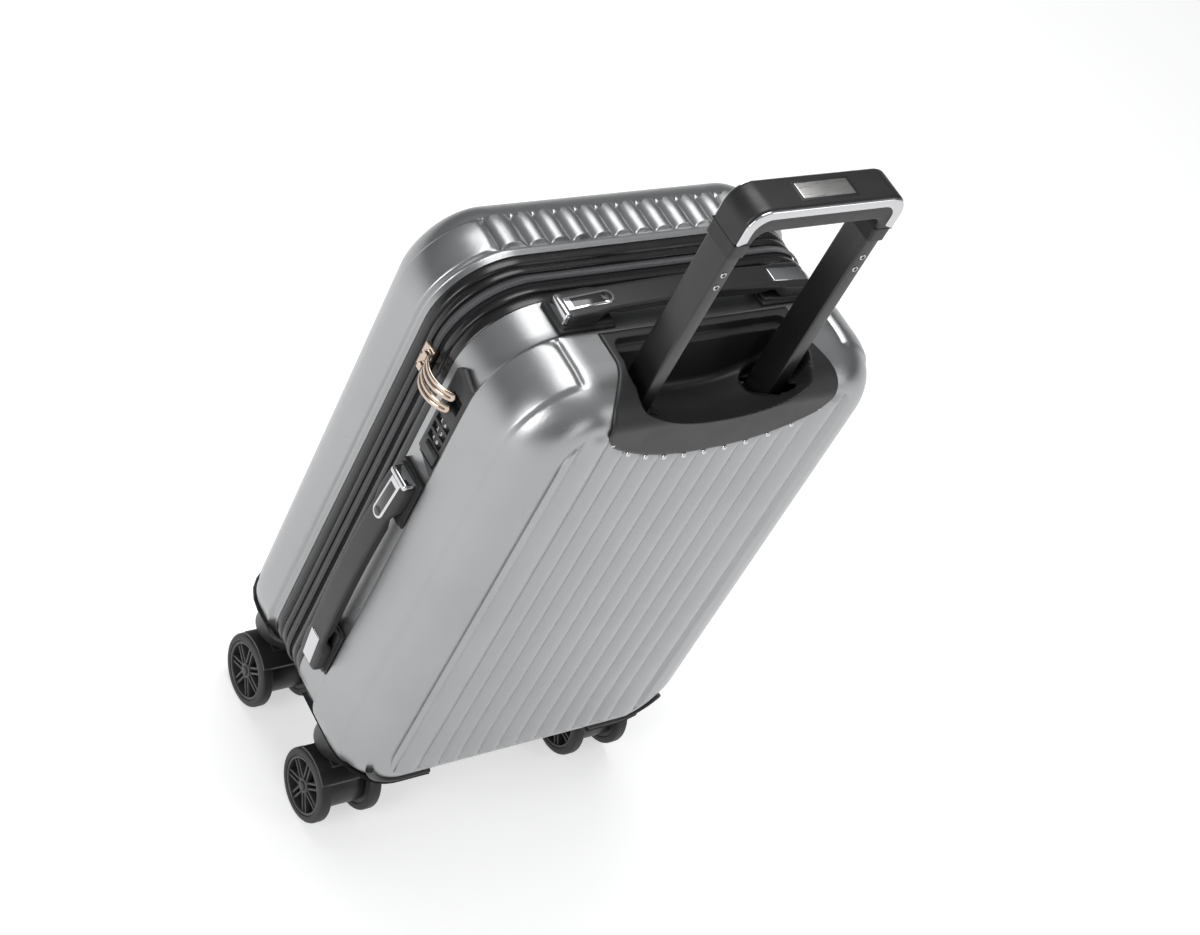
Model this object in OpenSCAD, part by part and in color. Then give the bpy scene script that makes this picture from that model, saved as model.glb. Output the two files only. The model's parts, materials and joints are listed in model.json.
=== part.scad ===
// Hard shell cabin suitcase on four swivelling twin-wheel casters.
// X is the width, Y the depth (the trolley is on the -Y side), Z is up from the floor.

/* [Body] */
// width of the shells
body_w = 336; // [330:1:342]
// height of the shells, from the bottom rim to the top
body_h = 470; // [464:1:476]
// depth of the back shell, from the zip band to the rib roots
back_d = 103; // [101:0.5:105]
// depth of the front shell
front_d = 59; // [58:0.5:60]
// wall thickness of the shells
wall = 2.5; // [2.2:0.1:2.8]
// radius of the shell corners seen from the front
corner_r = 60; // [58:1:62]

/* [Ribs] */
// number of ribs across a shell
rib_count = 12; // [11:1:13]
// height of a rib above the shell
rib_h = 2; // [1.6:0.1:2.2]
// depth of the groove between two ribs
groove_h = 2; // [1.4:0.1:2.2]

/* [Trolley] */
// how far the trolley stands out of its cup at rest
trolley_out = 167; // [150:1:180]
// height of the pull bar
bar_h = 22; // [20:1:24]

/* [Casters] */
// radius of the caster wheels
wheel_r = 31.5; // [30.5:0.1:31.7]
// width of one wheel
wheel_w = 11; // [10:0.5:11.5]
// number of spoke pairs in a wheel
spoke_pairs = 7; // [5:1:8]

/* [Carry handles] */
// length of a carry handle
handle_l = 232; // [224:1:240]
// height of the handle's crown above the shell
handle_h = 20.5; // [19:0.5:21.5]

/* [Hidden] */
half_w = body_w / 2;
floor_gap = 78;
z_bot = floor_gap;
z_top = floor_gap + body_h;
z_mid = (z_bot + z_top) / 2;
flange_in = 3;
handle_out = handle_h - flange_in;
x_shift = handle_out / 2;
band_y0 = 0;
band_y1 = 45;
zip_y = 23;
edge_r = 36;
edge_k = 0.7;
rib_half = 121;
rib_pitch = 19;
rib_at = [0, 0.13, 0.3, 0.5, 0.7, 0.87];
rib_hi = [-groove_h, 0.5 * rib_h, 0.88 * rib_h, rib_h, 0.88 * rib_h, 0.5 * rib_h];
cols = 6 * rib_count + 1;
arc_n = 7;
ring_n = 2 * cols + 4 * arc_n;
guard_x = 79;
guard_h = [16, 34];
cup_x = 100;
tube_x = 63;
tube_y = -74;
tube_w = 13;
tube_d = 25;
tube_t = 1.2;
tube_gap = 0.08;
mid_w = tube_w + 2 * (tube_gap + tube_t);
mid_d = tube_d + 2 * (tube_gap + tube_t);
out_w = mid_w + 2 * (tube_gap + tube_t);
out_d = mid_d + 2 * (tube_gap + tube_t);
foot_z = 96;
socket_z = 496;
bar_z = z_top + 4 + trolley_out;
bar_x = 76;
caster_x = 127;
caster_back_y = -44;
caster_front_y = 73;
trail = 11;
axle_r = 3;
stem_r = 5;
turn_gap = 0.05;
wheel_in = 18;
plate_z = 71;
lock_z0 = 405;
lock_z1 = 502;
lock_y0 = -38;
lock_y1 = -9;
dial_y = -21;
dial_r = 8.5;
dial_w = 6;
dial_z = [433, 442, 451];
handle_y = -17;
side_z = 276;
$fn = 48;

// ---- shared helpers ----

// Everything sits half the side handle's height to the right, so the origin is under the middle.
module place() translate([x_shift, 0, 0]) children();

// Extrudes an outline drawn in X and Z along Y.
module along_y(y0, y1) translate([0, y1, 0]) rotate([90, 0, 0]) linear_extrude(y1 - y0) children();

// Extrudes an outline drawn in Y and Z along X.
module along_x(x0, x1)
    translate([x0, 0, 0]) rotate([90, 0, 90]) linear_extrude(x1 - x0) children();

module box(lo, hi) translate(lo) cube(hi - lo);

// Rounded rectangle of the shells' outline, moved in by a distance.
module outline(inset) {
    r = corner_r - inset;
    w = half_w - corner_r;
    difference() {
        union() {
            translate([-w, z_bot + inset]) square([2 * w, body_h - 2 * inset]);
            translate([-half_w + inset, z_bot + corner_r])
                square([2 * half_w - 2 * inset, body_h - 2 * corner_r]);
            for (sx = [-1, 1], z = [z_bot + corner_r, z_top - corner_r])
                translate([sx * w, z]) circle(r);
        }
    }
}

module ring(y0, y1, inset, thick) along_y(y0, y1) difference() {
    outline(inset);
    outline(inset + thick);
}

// ---- shell surface ----

// Distance in from the outline and depth from the band on the rounded edge, at angle a.
function edge_in(a, off) = edge_r * (1 - cos(a)) - off * cos(a);
function edge_d(a, off, d0, d1) = d0 + (d1 - d0) * sin(a) + off * sin(a);

function rib_edge(k) = k == 0 ? -rib_half : k == rib_count ? rib_half : (k - rib_count / 2) * rib_pitch;
function col_x(i) =
    let (k = floor(i / 6)) rib_edge(k) + rib_at[i % 6] * (i % 6 == 0 ? 0 : rib_edge(k + 1) - rib_edge(k));
function col_rib(i) = (i == 0 || i == cols - 1) ? 0 : rib_hi[i % 6];
function under_rib(i) = abs(col_x(i)) < guard_x - 2 ? col_rib(i) : 0;

// Half height of the outline at x, for a distance in from the edge.
function half_z(x, inset) =
    let (w = half_w - corner_r, rx = corner_r - inset, rz = corner_r - edge_k * inset, dx = abs(x) - w)
    body_h / 2 - corner_r + (dx <= 0 ? rz : rz * sqrt(max(0, 1 - dx * dx / (rx * rx))));

// One corner point: q is the quarter (1 right, -1 left), s is up or down, t runs 0 to 1 to the side.
function corner(q, s, t, inset) =
    let (w = half_w - corner_r, rx = corner_r - inset, rz = corner_r - edge_k * inset,
         a = acos((rib_half - w) / rx) * (1 - t))
    [q * (w + rx * cos(a)), z_mid + s * (body_h / 2 - corner_r + rz * sin(a))];

// A loop of points round the shell. ty and tz say how much of the ribs goes to Y and to Z.
function loop(inset, y, side, rib_y, top_z, low_z) = [
    for (i = [0 : cols - 1])
        [col_x(i), y + side * rib_y * col_rib(i), z_mid + half_z(col_x(i), inset) + top_z * col_rib(i)],
    for (i = [1 : arc_n]) let (c = corner(1, 1, i / arc_n, inset)) [c[0], y, c[1]],
    for (i = [0 : arc_n - 1]) let (c = corner(1, -1, 1 - i / arc_n, inset)) [c[0], y, c[1]],
    for (i = [cols - 1 : -1 : 0])
        [col_x(i), y + side * rib_y * col_rib(i), z_mid - half_z(col_x(i), inset) - low_z * under_rib(i)],
    for (i = [1 : arc_n]) let (c = corner(-1, -1, i / arc_n, inset)) [c[0], y, c[1]],
    for (i = [0 : arc_n - 1]) let (c = corner(-1, 1, 1 - i / arc_n, inset)) [c[0], y, c[1]]
];

// Triangles between loop a and loop b.
function skirt(a, b) = [
    for (i = [0 : ring_n - 1], t = [0, 1])
        let (n = (i + 1) % ring_n)
        t == 0 ? [a * ring_n + i, a * ring_n + n, b * ring_n + n] : [a * ring_n + i, b * ring_n + n, b * ring_n + i]
];
function flip(f) = [for (p = f) [for (i = [len(p) - 1 : -1 : 0]) p[i]]];

low_0 = cols + 2 * arc_n;
// The ribbed face: upright strips between the ribs' columns, and a flat piece at each side.
function ribbed_face(r) = [
    for (i = [0 : cols - 2])
        [r + i, r + i + 1, r + low_0 + cols - 2 - i, r + low_0 + cols - 1 - i],
    [for (i = [cols - 1 : low_0]) r + i],
    concat([for (i = [low_0 + cols - 1 : ring_n - 1]) r + i], [r])
];

// A pan-shaped shell. side is -1 for the back shell and 1 for the front one.
module pan(y0, side, depth, step_d, round_d, top_ribs) {
    steps = [18, 36, 54, 72, 90];
    outer = [
        loop(flange_in, y0, side, 0, 0, 0),
        loop(flange_in, y0 + side * step_d, side, 0, 0, 0),
        loop(0, y0 + side * (step_d + 2), side, 0, top_ribs, 0.6),
        loop(0, y0 + side * round_d, side, 0, top_ribs, 1),
        for (a = steps)
            loop(edge_in(a, 0), y0 + side * edge_d(a, 0, round_d, depth), side,
                 sin(a), top_ribs * cos(a), cos(a))
    ];
    inner = [
        loop(flange_in + wall, y0, side, 0, 0, 0),
        for (a = [0, 30, 60, 90])
            loop(max(edge_in(a, -wall - groove_h), wall + flange_in - 6 * a / 90),
                 y0 + side * edge_d(a, -wall - groove_h, round_d, depth), side, 0, 0, 0)
    ];
    no = len(outer);
    ni = len(inner);
    faces = concat(
        [for (j = [0 : no - 2]) each skirt(j, j + 1)],
        ribbed_face((no - 1) * ring_n),
        [for (j = [0 : ni - 2]) each flip(skirt(no + j, no + j + 1))],
        flip([[for (i = [0 : ring_n - 1]) (no + ni - 1) * ring_n + i]]),
        flip(skirt(0, no))
    );
    polyhedron([for (l = concat(outer, inner)) each l], side > 0 ? flip(faces) : faces, convexity = 8);
}

// ---- shells and band ----

back_round = 60;
front_round = 24;

// Outline of the trolley cup seen from behind, grown by a margin.
module cup_outline(grow) {
    polygon([
        for (i = [0 : 12]) let (x = (i - 6) / 6 * (cup_x - 6 + grow))
            [x, z_top - 59.5 - grow + 28 * pow(abs(x) / cup_x, 2.4)],
        [cup_x + grow, z_top - 28],
        [cup_x - 8 + grow, z_top + 12],
        [-cup_x + 8 - grow, z_top + 12],
        [-cup_x - grow, z_top - 28]
    ]);
}

module back_shell() color("silver") difference() {
    pan(band_y0, -1, back_d, 33, back_round, 0);
    along_y(-back_d - 10, -38) cup_outline(0);
    box([-half_w - 5, lock_y0 + 2.5, lock_z0 + 5], [-half_w + 20, lock_y1 - 1.5, lock_z1 - 5]);
    box([-half_w - 5, lock_y0 - 0.4, lock_z0 - 0.4], [-half_w + flange_in, lock_y1 + 0.4, lock_z1 + 0.4]);
}

module front_shell() color("silver") pan(band_y1, 1, front_d, 9, front_round, 1);

module back_rim() color("dimgray") union() {
    ring(0.1, 21, 5, 4);
    ring(0.1, 5, 3.4, 4);
    ring(8, 11, 3.6, 4);
    ring(14, 21, 3.6, 4);
}

module front_rim() color("dimgray") union() {
    ring(25, 44.9, 5, 4);
    ring(25, 32, 3.6, 4);
    ring(35, 38, 3.6, 4);
    ring(41, 44.9, 3.4, 4);
}

module back_zip() color("black") ring(21.05, zip_y - 0.2, 4, 3);
module front_zip() color("black") ring(zip_y + 0.2, 24.95, 4, 3);

module hinge_strip() color("dimgray")
    box([half_w - 13, 12, z_bot + 80], [half_w - 12, zip_y + 8, z_top - 80]);

module lining(y0, y1, z1) along_y(min(y0, y1), max(y0, y1)) difference() {
    intersection() {
        outline(12);
        translate([-half_w, 0]) square([body_w, z1]);
    }
    intersection() {
        outline(13);
        translate([-half_w, 0]) square([body_w, z1 - 1]);
    }
}

module lining_floor(y0, z1) along_y(y0, y0 + 1) intersection() {
    outline(12);
    translate([-half_w, 0]) square([body_w, z1]);
}

lining_top = 478;
module lining_back() color("slategray") difference() {
    union() {
        lining(-55, -2, lining_top);
        lining_floor(-56, lining_top);
    }
    box([-half_w, lock_y0 - 3, lock_z0 - 3], [-half_w + 22, lock_y1 + 3, z_top]);
}

module lining_front() color("slategray") union() {
    lining(band_y1 + 2, band_y1 + 36, z_top);
    lining_floor(band_y1 + 35.5, z_top);
}

// ---- lock ----

lock_face = half_w + 0.6;
lock_seat = half_w - flange_in + 0.1;

module lock_body() color("dimgray") difference() {
    union() {
        translate([-lock_face, 0, 0]) along_x(0, lock_face - lock_seat) polygon([
            [lock_y0, lock_z0 + 4], [lock_y0 + 6, lock_z0], [lock_y1, lock_z0 + 10],
            [lock_y1, lock_z1 - 5], [lock_y1 - 6, lock_z1], [lock_y0, lock_z1 - 8]
        ]);
        box([-lock_face + 1, lock_y0 + 3, lock_z0 + 5.5], [-half_w + 18, lock_y1 - 2, lock_z1 - 5.5]);
    }
    for (z = dial_z) box([-half_w - 3, dial_y - dial_r - 0.3, z - dial_w / 2 - 0.3],
                         [-half_w + 17.1, dial_y + dial_r + 0.3, z + dial_w / 2 + 0.3]);
    translate([-half_w + 8.1, dial_y, lock_z0 + 18]) cylinder(r = 1.5 + turn_gap, h = 38);
    box([-half_w - 3, lock_y0 + 9, 467], [-half_w + 6, lock_y1 - 7, 481]);
    box([-half_w - 3, lock_y0 + 5.5, lock_z0 + 7.5], [-half_w + 4, lock_y1 - 5.5, lock_z0 + 22.5]);
}

module dial(n) color("black") translate([-half_w + 8.1, dial_y, dial_z[n] - dial_w / 2]) difference() {
    union() {
        cylinder(r = dial_r, h = dial_w, $fn = 96);
        cylinder(r = 1.5, h = dial_w);
    }
    for (a = [0 : 36 : 324]) rotate(a) translate([dial_r, 0, 1]) cylinder(r = 0.5, h = dial_w, $fn = 12);
}

module lock_slider() color("dimgray") union() {
    box([-half_w - 2.2, lock_y0 + 6, lock_z0 + 11], [-half_w + 3.6, lock_y1 - 6, lock_z0 + 22]);
    box([-half_w - 2.9, lock_y0 + 7, lock_z0 + 18], [-half_w - 2.1, lock_y1 - 7, lock_z0 + 21]);
}

// ---- zip sliders ----

slider_z = [478, 466];
pull_x = half_w + 3.5;
pull_y = zip_y - 2;

module zip_slider(n) color("goldenrod") translate([0, 0, slider_z[n]]) difference() {
    union() {
        box([-half_w - 1.2, zip_y - 6, -5], [-half_w + 3.4, zip_y + 6, 5]);
        box([-pull_x - 1.9, pull_y - 2.6, -2.6], [-half_w - 0.8, pull_y + 2.6, 2.6]);
    }
    translate([-pull_x, pull_y, -4]) cylinder(r = 1.1, h = 8);
}

// The pull: a curved bar with a ring at the slider, bent down towards the lock.
module puller(n) color("goldenrod") translate([-pull_x, pull_y, slider_z[n]]) union() {
    translate([0, 0, -4]) cylinder(r = 1.05, h = 8);
    for (z = [-4, 2.7]) translate([-0.6, -6, z]) cube([1.6, 7, 1.3]);
    difference() {
        translate([17, -22, -4]) cylinder(r = 26.2, h = 8, $fn = 64);
        translate([17.4, -22, -5]) cylinder(r = 24.4, h = 10, $fn = 64);
        translate([-1.8, -60, -5]) cube([60, 120, 10]);
        translate([-30, -6, -5]) cube([60, 60, 10]);
        translate([-30, -90, -5]) cube([60, 49.5, 10]);
    }
    translate([-3.1, -10.5, -4]) cube([3.6, 6, 8]);
    translate([-3.2, -41, -4]) cube([1.7, 4.5, 8]);
}

// ---- trolley cup ----

skin = 1.3;

// Side outline of the shell's back top edge, grown outwards.
function brow(off) = concat(
    [[-back_d - off - rib_h * 0.5, z_top - 64]],
    [for (a = [90 : -7.5 : 0])
        [-edge_d(a, off + rib_h * 0.5, back_round, back_d), z_top - edge_k * edge_in(a, off)]],
    [[-37, z_top + off]]
);

module brow_band(off0, off1) {
    o = brow(off0);
    n = brow(off1);
    polygon(concat(o, [for (i = [len(n) - 1 : -1 : 0]) n[i]]));
}

module cup_space() union() {
    along_x(-86, 86) polygon([
        [-97, z_top - 24], [-90, z_top - 34], [-64, z_top - 40], [-50, z_top - 36], [-46, z_top - 24],
        [-44, z_top + 20], [-84, z_top + 20], [-112, z_top - 12], [-112, z_top - 20]
    ]);
    for (s = [-1, 1]) translate([s * tube_x, tube_y, socket_z + 3]) cylinder(r = 18.5, h = 80);
}

module trolley_bezel() color("dimgray") difference() {
    union() {
        intersection() {
            along_x(-cup_x - 10, cup_x + 10) brow_band(skin + 0.7, 0.15 + rib_h * 0.5);
            along_y(-back_d - 10, -37) cup_outline(3.5);
        }
        intersection() {
            along_x(-cup_x - 10, cup_x + 10) brow_band(1.4, -4);
            along_y(-back_d - 10, -38.2) cup_outline(-0.3);
        }
        intersection() {
            along_x(-89, 89) polygon([
                [-99, z_top - 26], [-92, z_top - 38], [-64, z_top - 44], [-48, z_top - 40],
                [-42, z_top - 28], [-41, z_top - 1], [-99, z_top - 22]
            ]);
            along_y(-back_d - 10, -38.2) cup_outline(-0.3);
        }
        for (s = [-1, 1]) translate([s * tube_x, tube_y, socket_z]) cylinder(r = 21, h = 26);
        for (s = [-1, 1]) translate([s * tube_x, tube_y, socket_z - 14]) cylinder(r = 20, h = 15);
    }
    cup_space();
    for (s = [-1, 1]) translate([s * tube_x, tube_y, 0]) {
        translate([-mid_w / 2 - 0.2, -mid_d / 2 - 0.2, 400]) cube([mid_w + 0.4, mid_d + 0.4, 120]);
        translate([-out_w / 2 - 0.05, -out_d / 2 - 0.05, 400])
            cube([out_w + 0.1, out_d + 0.1, socket_z - 400 - 1]);
    }
}

// ---- trolley tubes ----

module tube(w, d, z0, z1) difference() {
    translate([-w / 2, -d / 2, z0]) cube([w, d, z1 - z0]);
    translate([-w / 2 + tube_t, -d / 2 + tube_t, z0 - 1])
        cube([w - 2 * tube_t, d - 2 * tube_t, z1 - z0 + 2]);
}

module at_tube(s) translate([s * tube_x, tube_y, 0]) children();

module outer_tube(s) color("silver") at_tube(s) tube(out_w, out_d, foot_z, socket_z - 1.1);
module middle_tube(s) color("silver") at_tube(s) tube(mid_w, mid_d, foot_z + 8, socket_z - 23);
rivet_z = [bar_z - 62, bar_z - 74];
module inner_tube(s) color("black") at_tube(s) difference() {
    tube(tube_w, tube_d, foot_z + 12 + trolley_out, bar_z - 30);
    for (z = rivet_z) translate([0, -tube_d / 2 + 3, z]) rotate([90, 0, 0]) cylinder(r = 1.6 + turn_gap, h = 6);
}

module tube_foot() color("dimgray") difference() {
    union() {
        box([-tube_x - 16, -88, foot_z - 5], [tube_x + 16, -58, foot_z - 0.1]);
        for (s = [-1, 1]) at_tube(s) translate([-out_w / 2 - 2.5, -out_d / 2 - 2.5, foot_z - 2])
            cube([out_w + 5, out_d + 5, 22]);
    }
    for (s = [-1, 1]) at_tube(s) translate([-out_w / 2 - 0.05, -out_d / 2 - 0.05, foot_z])
        cube([out_w + 0.1, out_d + 0.1, 60]);
}

// ---- pull bar ----

grip_d = 30;

module grip_block(w, d, z0, z1, r) along_y(-d / 2, d / 2) union() {
    translate([-w, z0]) square([2 * w, z1 - z0 - r]);
    translate([-w + r, z0]) square([2 * w - 2 * r, z1 - z0]);
    for (s = [-1, 1]) translate([s * (w - r), z1 - r]) circle(r);
}

module trolley_grip() color("dimgray") translate([0, tube_y, 0]) difference() {
    grip_block(bar_x - 4, grip_d - 1.2, bar_z - 44, bar_z, 16);
    grip_block(bar_x - 21, grip_d + 10, bar_z - 60, bar_z - bar_h, 8);
    for (s = [-1, 1]) translate([s * tube_x - tube_w / 2 - 0.05, -tube_d / 2 - 0.05, bar_z - 60])
        cube([tube_w + 0.1, tube_d + 0.1, 30.1]);
    translate([-24, -8, bar_z - 11]) cube([48, 16, 20]);
    translate([-tube_x - 4, -4, bar_z - 18.5]) cube([2 * tube_x + 8, 8, 8.3]);
    for (s = [-1, 1]) translate([s * tube_x - 4, -4, bar_z - 40]) cube([8, 8, 29.8]);
}

module trim(y0, y1) along_y(y0, y1) difference() {
    union() {
        translate([-bar_x + 3.8, bar_z - 32]) square([2 * bar_x - 7.6, 16]);
        translate([-bar_x + 20, bar_z - 17]) square([2 * bar_x - 40, 17.2]);
        for (s = [-1, 1]) translate([s * (bar_x - 20), bar_z - 16]) circle(16.2);
    }
    translate([-bar_x + 8, bar_z - 40]) square([2 * bar_x - 16, 24]);
    translate([-bar_x + 20, bar_z - 18]) square([2 * bar_x - 40, 14]);
    for (s = [-1, 1]) translate([s * (bar_x - 20), bar_z - 16]) circle(12);
}

module grip_trims() color("gainsboro") translate([0, tube_y, 0]) union() {
    trim(-grip_d / 2 - 1.2, -grip_d / 2 + 0.55);
    trim(grip_d / 2 - 0.55, grip_d / 2 + 0.2);
}

module grip_button() color("silver") translate([0, tube_y, 0]) union() {
    translate([-23.5, -7.6, bar_z - 5]) cube([47, 15.2, 5.6]);
    translate([-4, -3.6, bar_z - 10.5]) cube([8, 7.2, 6]);
}

module button_rods() color("gray") translate([0, tube_y, 0]) union() {
    translate([-tube_x - 3, -3.4, bar_z - 13.4]) cube([2 * tube_x + 6, 6.8, 2.8]);
    for (s = [-1, 1]) translate([s * tube_x, 0, foot_z + 20 + trolley_out])
        cylinder(r = 2, h = bar_z - 13 - foot_z - 20 - trolley_out);
}

module trolley_rivets() color("silver")
    for (s = [-1, 1], z = rivet_z) at_tube(s) translate([0, -tube_d / 2 + tube_t + 0.6, z])
        rotate([90, 0, 0]) difference() {
            union() {
                cylinder(r = 1.6, h = 2.4);
                translate([0, 0, tube_t + 0.62]) cylinder(r = 2.4, h = 0.8);
            }
            translate([0, 0, -1]) cylinder(r = 0.9, h = 5);
        }

// ---- carry handles ----

// Local frame: length along X, width along Y, height along Z from the shell.
grip_half = handle_l / 2 - 4;
function crown(x) = handle_h - 6 * pow(x / (handle_l / 2), 2);
module arch(z_off, thick, len) rotate([90, 0, 0]) linear_extrude(26, center = true) polygon(concat(
    [for (i = [0 : 16]) let (x = (i - 8) / 8 * len) [x, crown(x) + z_off]],
    [for (i = [16 : -1 : 0]) let (x = (i - 8) / 8 * len) [x, crown(x) + z_off - thick]]
));

module handle_grip() color("dimgray") difference() {
    union() {
        arch(0, 6, grip_half);
        for (s = [-1, 1]) translate([s * (grip_half - 20) - 20, -13, 6.4]) cube([40, 26, 3.2]);
        for (s = [-1, 1]) translate([s * (handle_l / 2 - 22), 0, 0.8]) cylinder(r = 2.5, h = 6);
    }
    for (s = [-1, 1]) translate([s * (grip_half - 22) - 16, -6, crown(grip_half - 6) - 1])
        cube([32, 12, 10]);
}

module handle_underside() color("black") arch(-6.1, 4, handle_l / 2 - 48);

module handle_caps() color("gainsboro") for (s = [-1, 1]) union() {
    translate([s * (grip_half - 22) - 15.9, -5.9, crown(grip_half - 6) - 0.95]) cube([31.8, 11.8, 2.4]);
    translate([s * (handle_l / 2 - 2) - 1.9, -13, 7]) cube([3.8, 26, 8.5]);
}

module handle_mounts() color("black") for (s = [-1, 1]) difference() {
    translate([s * (handle_l / 2 - 24), 0, 0]) union() {
        translate([-24, -15, 0.1]) cube([48, 30, 3.4]);
        translate([-22, -13, 3]) cube([44, 26, 3]);
    }
    translate([s * (handle_l / 2 - 22), 0, 0.5]) cylinder(r = 2.5 + turn_gap, h = 10);
}

module on_top() translate([0, handle_y, z_top - edge_k * flange_in]) children();
module on_side() translate([-half_w + flange_in, handle_y, side_z]) rotate([0, -90, 0]) children();

// ---- corner guards and casters ----

// Part of a shell's surface moved out by off: quarter q, between columns, at edge angles.
guard_cols = 6;
guard_t = 4.6;
guard_gap = 1;
function guard_loop(q, y0, side, d0, d1, a, off) = concat(
    [for (i = [0 : guard_cols]) let (x = guard_x + (rib_half - guard_x) * i / guard_cols)
        [q * x, y0 + side * (edge_d(a, off, d0, d1) + rib_h * sin(a)), z_mid - half_z(x, edge_in(a, off))]],
    [for (i = [1 : 8]) let (c = corner(q, -1, i / 9, edge_in(a, off)))
        [c[0], y0 + side * (edge_d(a, off, d0, d1) + rib_h * sin(a)), c[1]]]
);
guard_n = guard_cols + 9;

module guard_skin(q, y0, side, d_start, d0, d1) {
    angles = [0, 15, 30, 45, 58];
    low = [for (p = guard_loop(q, y0, side, d0, d1, 0, guard_gap)) [p[0], y0 + side * d_start, p[2]]];
    high = [for (p = guard_loop(q, y0, side, d0, d1, 0, guard_t)) [p[0], y0 + side * d_start, p[2]]];
    inside = concat([low], [for (a = angles) guard_loop(q, y0, side, d0, d1, a, guard_gap)]);
    outside = concat([high], [for (a = angles) guard_loop(q, y0, side, d0, d1, a, guard_t)]);
    m = len(inside);
    pts = [for (l = concat(inside, outside)) each l];
    function at(k, j, i) = (k * m + j) * guard_n + i;
    f = concat(
        [for (j = [0 : m - 2], i = [0 : guard_n - 2], t = [0, 1])
            t == 0 ? [at(1, j, i), at(1, j, i + 1), at(1, j + 1, i + 1)]
                   : [at(1, j, i), at(1, j + 1, i + 1), at(1, j + 1, i)]],
        [for (j = [0 : m - 2], i = [0 : guard_n - 2], t = [0, 1])
            t == 0 ? [at(0, j, i), at(0, j + 1, i + 1), at(0, j, i + 1)]
                   : [at(0, j, i), at(0, j + 1, i), at(0, j + 1, i + 1)]],
        [for (j = [0 : m - 2], e = [0, guard_n - 1], t = [0, 1])
            let (a = at(0, j, e), b = at(0, j + 1, e), c = at(1, j + 1, e), d = at(1, j, e))
            e == 0 ? (t == 0 ? [a, d, c] : [a, c, b]) : (t == 0 ? [a, b, c] : [a, c, d])],
        [for (i = [0 : guard_n - 2], e = [0, m - 1], t = [0, 1])
            let (a = at(0, e, i), b = at(0, e, i + 1), c = at(1, e, i + 1), d = at(1, e, i))
            e == 0 ? (t == 0 ? [a, b, c] : [a, c, d]) : (t == 0 ? [a, d, c] : [a, c, b])]
    );
    polyhedron(pts, q * side < 0 ? flip(f) : f, convexity = 6);
}

module guard(q, side) {
    y0 = side < 0 ? band_y0 : band_y1;
    d0 = side < 0 ? back_round : front_round;
    d1 = side < 0 ? back_d : front_d;
    cy = side < 0 ? caster_back_y : caster_front_y;
    color("black") difference() {
        union() {
            difference() {
                guard_skin(q, y0, side, side < 0 ? 6 : 3, d0, d1);
                box([-200, -200, z_bot + (side < 0 ? guard_h[0] : guard_h[1])], [200, 200, z_top]);
            }
            difference() {
                translate([q * caster_x, cy, plate_z]) cylinder(r = 24, h = 30);
                along_y(-200, 200) outline(-0.4);
            }
        }
        translate([q * caster_x, cy, plate_z - 5]) cylinder(r = stem_r + turn_gap, h = 14.6);
    }
}

module at_caster(q, cy) translate([q * caster_x, cy, 0]) children();

module fork() color("black") difference() {
    union() {
        translate([0, 0, plate_z - 4]) cylinder(r = 20, h = 3.6);
        translate([0, 0, plate_z - 2]) cylinder(r = stem_r, h = 9.6);
        along_x(-wheel_in + 1.2, wheel_in - 1.2) union() {
            translate([-trail, wheel_r]) circle(22);
            translate([-20, wheel_r]) square([30, plate_z - 2 - wheel_r]);
        }
        along_x(-wheel_in - wheel_w + 0.5, wheel_in + wheel_w - 0.5) intersection() {
            difference() {
                translate([-trail, wheel_r]) circle(wheel_r + 3.6);
                translate([-trail, wheel_r]) circle(wheel_r + 1.4);
            }
            translate([-trail - 20, wheel_r + 26]) square([40, 20]);
        }
    }
    translate([-40, -trail, wheel_r]) rotate([0, 90, 0]) cylinder(r = axle_r + turn_gap, h = 80);
}

module axle() color("silver")
    translate([-wheel_in - wheel_w + 1, -trail, wheel_r]) rotate([0, 90, 0])
        cylinder(r = axle_r, h = 2 * (wheel_in + wheel_w) - 2);

module wheel_face() difference() {
    union() {
        difference() {
            circle(wheel_r, $fn = 96);
            circle(wheel_r - 6.5, $fn = 96);
        }
        circle(7);
        for (i = [0 : spoke_pairs - 1], s = [-1, 1]) rotate(i * 360 / spoke_pairs) rotate(s * 9)
            translate([5, -1.1]) square([wheel_r - 11, 2.2]);
    }
    circle(axle_r);
}

module wheel(s) color("black") translate([0, -trail, wheel_r]) rotate([90, 0, 90]) union() {
    translate([0, 0, s < 0 ? -wheel_in - wheel_w : wheel_in + 3]) linear_extrude(wheel_w - 3) wheel_face();
    translate([0, 0, s < 0 ? -wheel_in - 3.01 : wheel_in]) linear_extrude(3.01) difference() {
        circle(wheel_r - 1, $fn = 96);
        circle(axle_r);
    }
}

// ---- nodes ----

place() back_shell();
place() back_rim();
place() back_zip();
place() hinge_strip();
place() lock_body();
place() trolley_bezel();
place() outer_tube(-1);  // outer_tube_left
place() outer_tube(1);  // outer_tube_right
place() tube_foot();
place() guard(-1, -1);  // guard_back_left
place() guard(1, -1);  // guard_back_right
place() lining_back();
place() dial(0);  // dial_1
place() dial(1);  // dial_2
place() dial(2);  // dial_3
place() lock_slider();
place() on_side() handle_grip();  // side_grip
place() on_side() handle_underside();  // side_underside
place() on_side() handle_caps();  // side_caps
place() on_side() handle_mounts();  // side_mounts
place() on_top() handle_grip();  // top_grip
place() on_top() handle_underside();  // top_underside
place() on_top() handle_caps();  // top_caps
place() on_top() handle_mounts();  // top_mounts
place() zip_slider(0);  // zip_slider_upper
place() zip_slider(1);  // zip_slider_lower
place() puller(0);  // puller_upper
place() puller(1);  // puller_lower
place() front_shell();
place() front_rim();
place() front_zip();
place() guard(-1, 1);  // guard_front_left
place() guard(1, 1);  // guard_front_right
place() lining_front();
place() middle_tube(-1);  // middle_tube_left
place() middle_tube(1);  // middle_tube_right
place() inner_tube(-1);  // inner_tube_left
place() inner_tube(1);  // inner_tube_right
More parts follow.
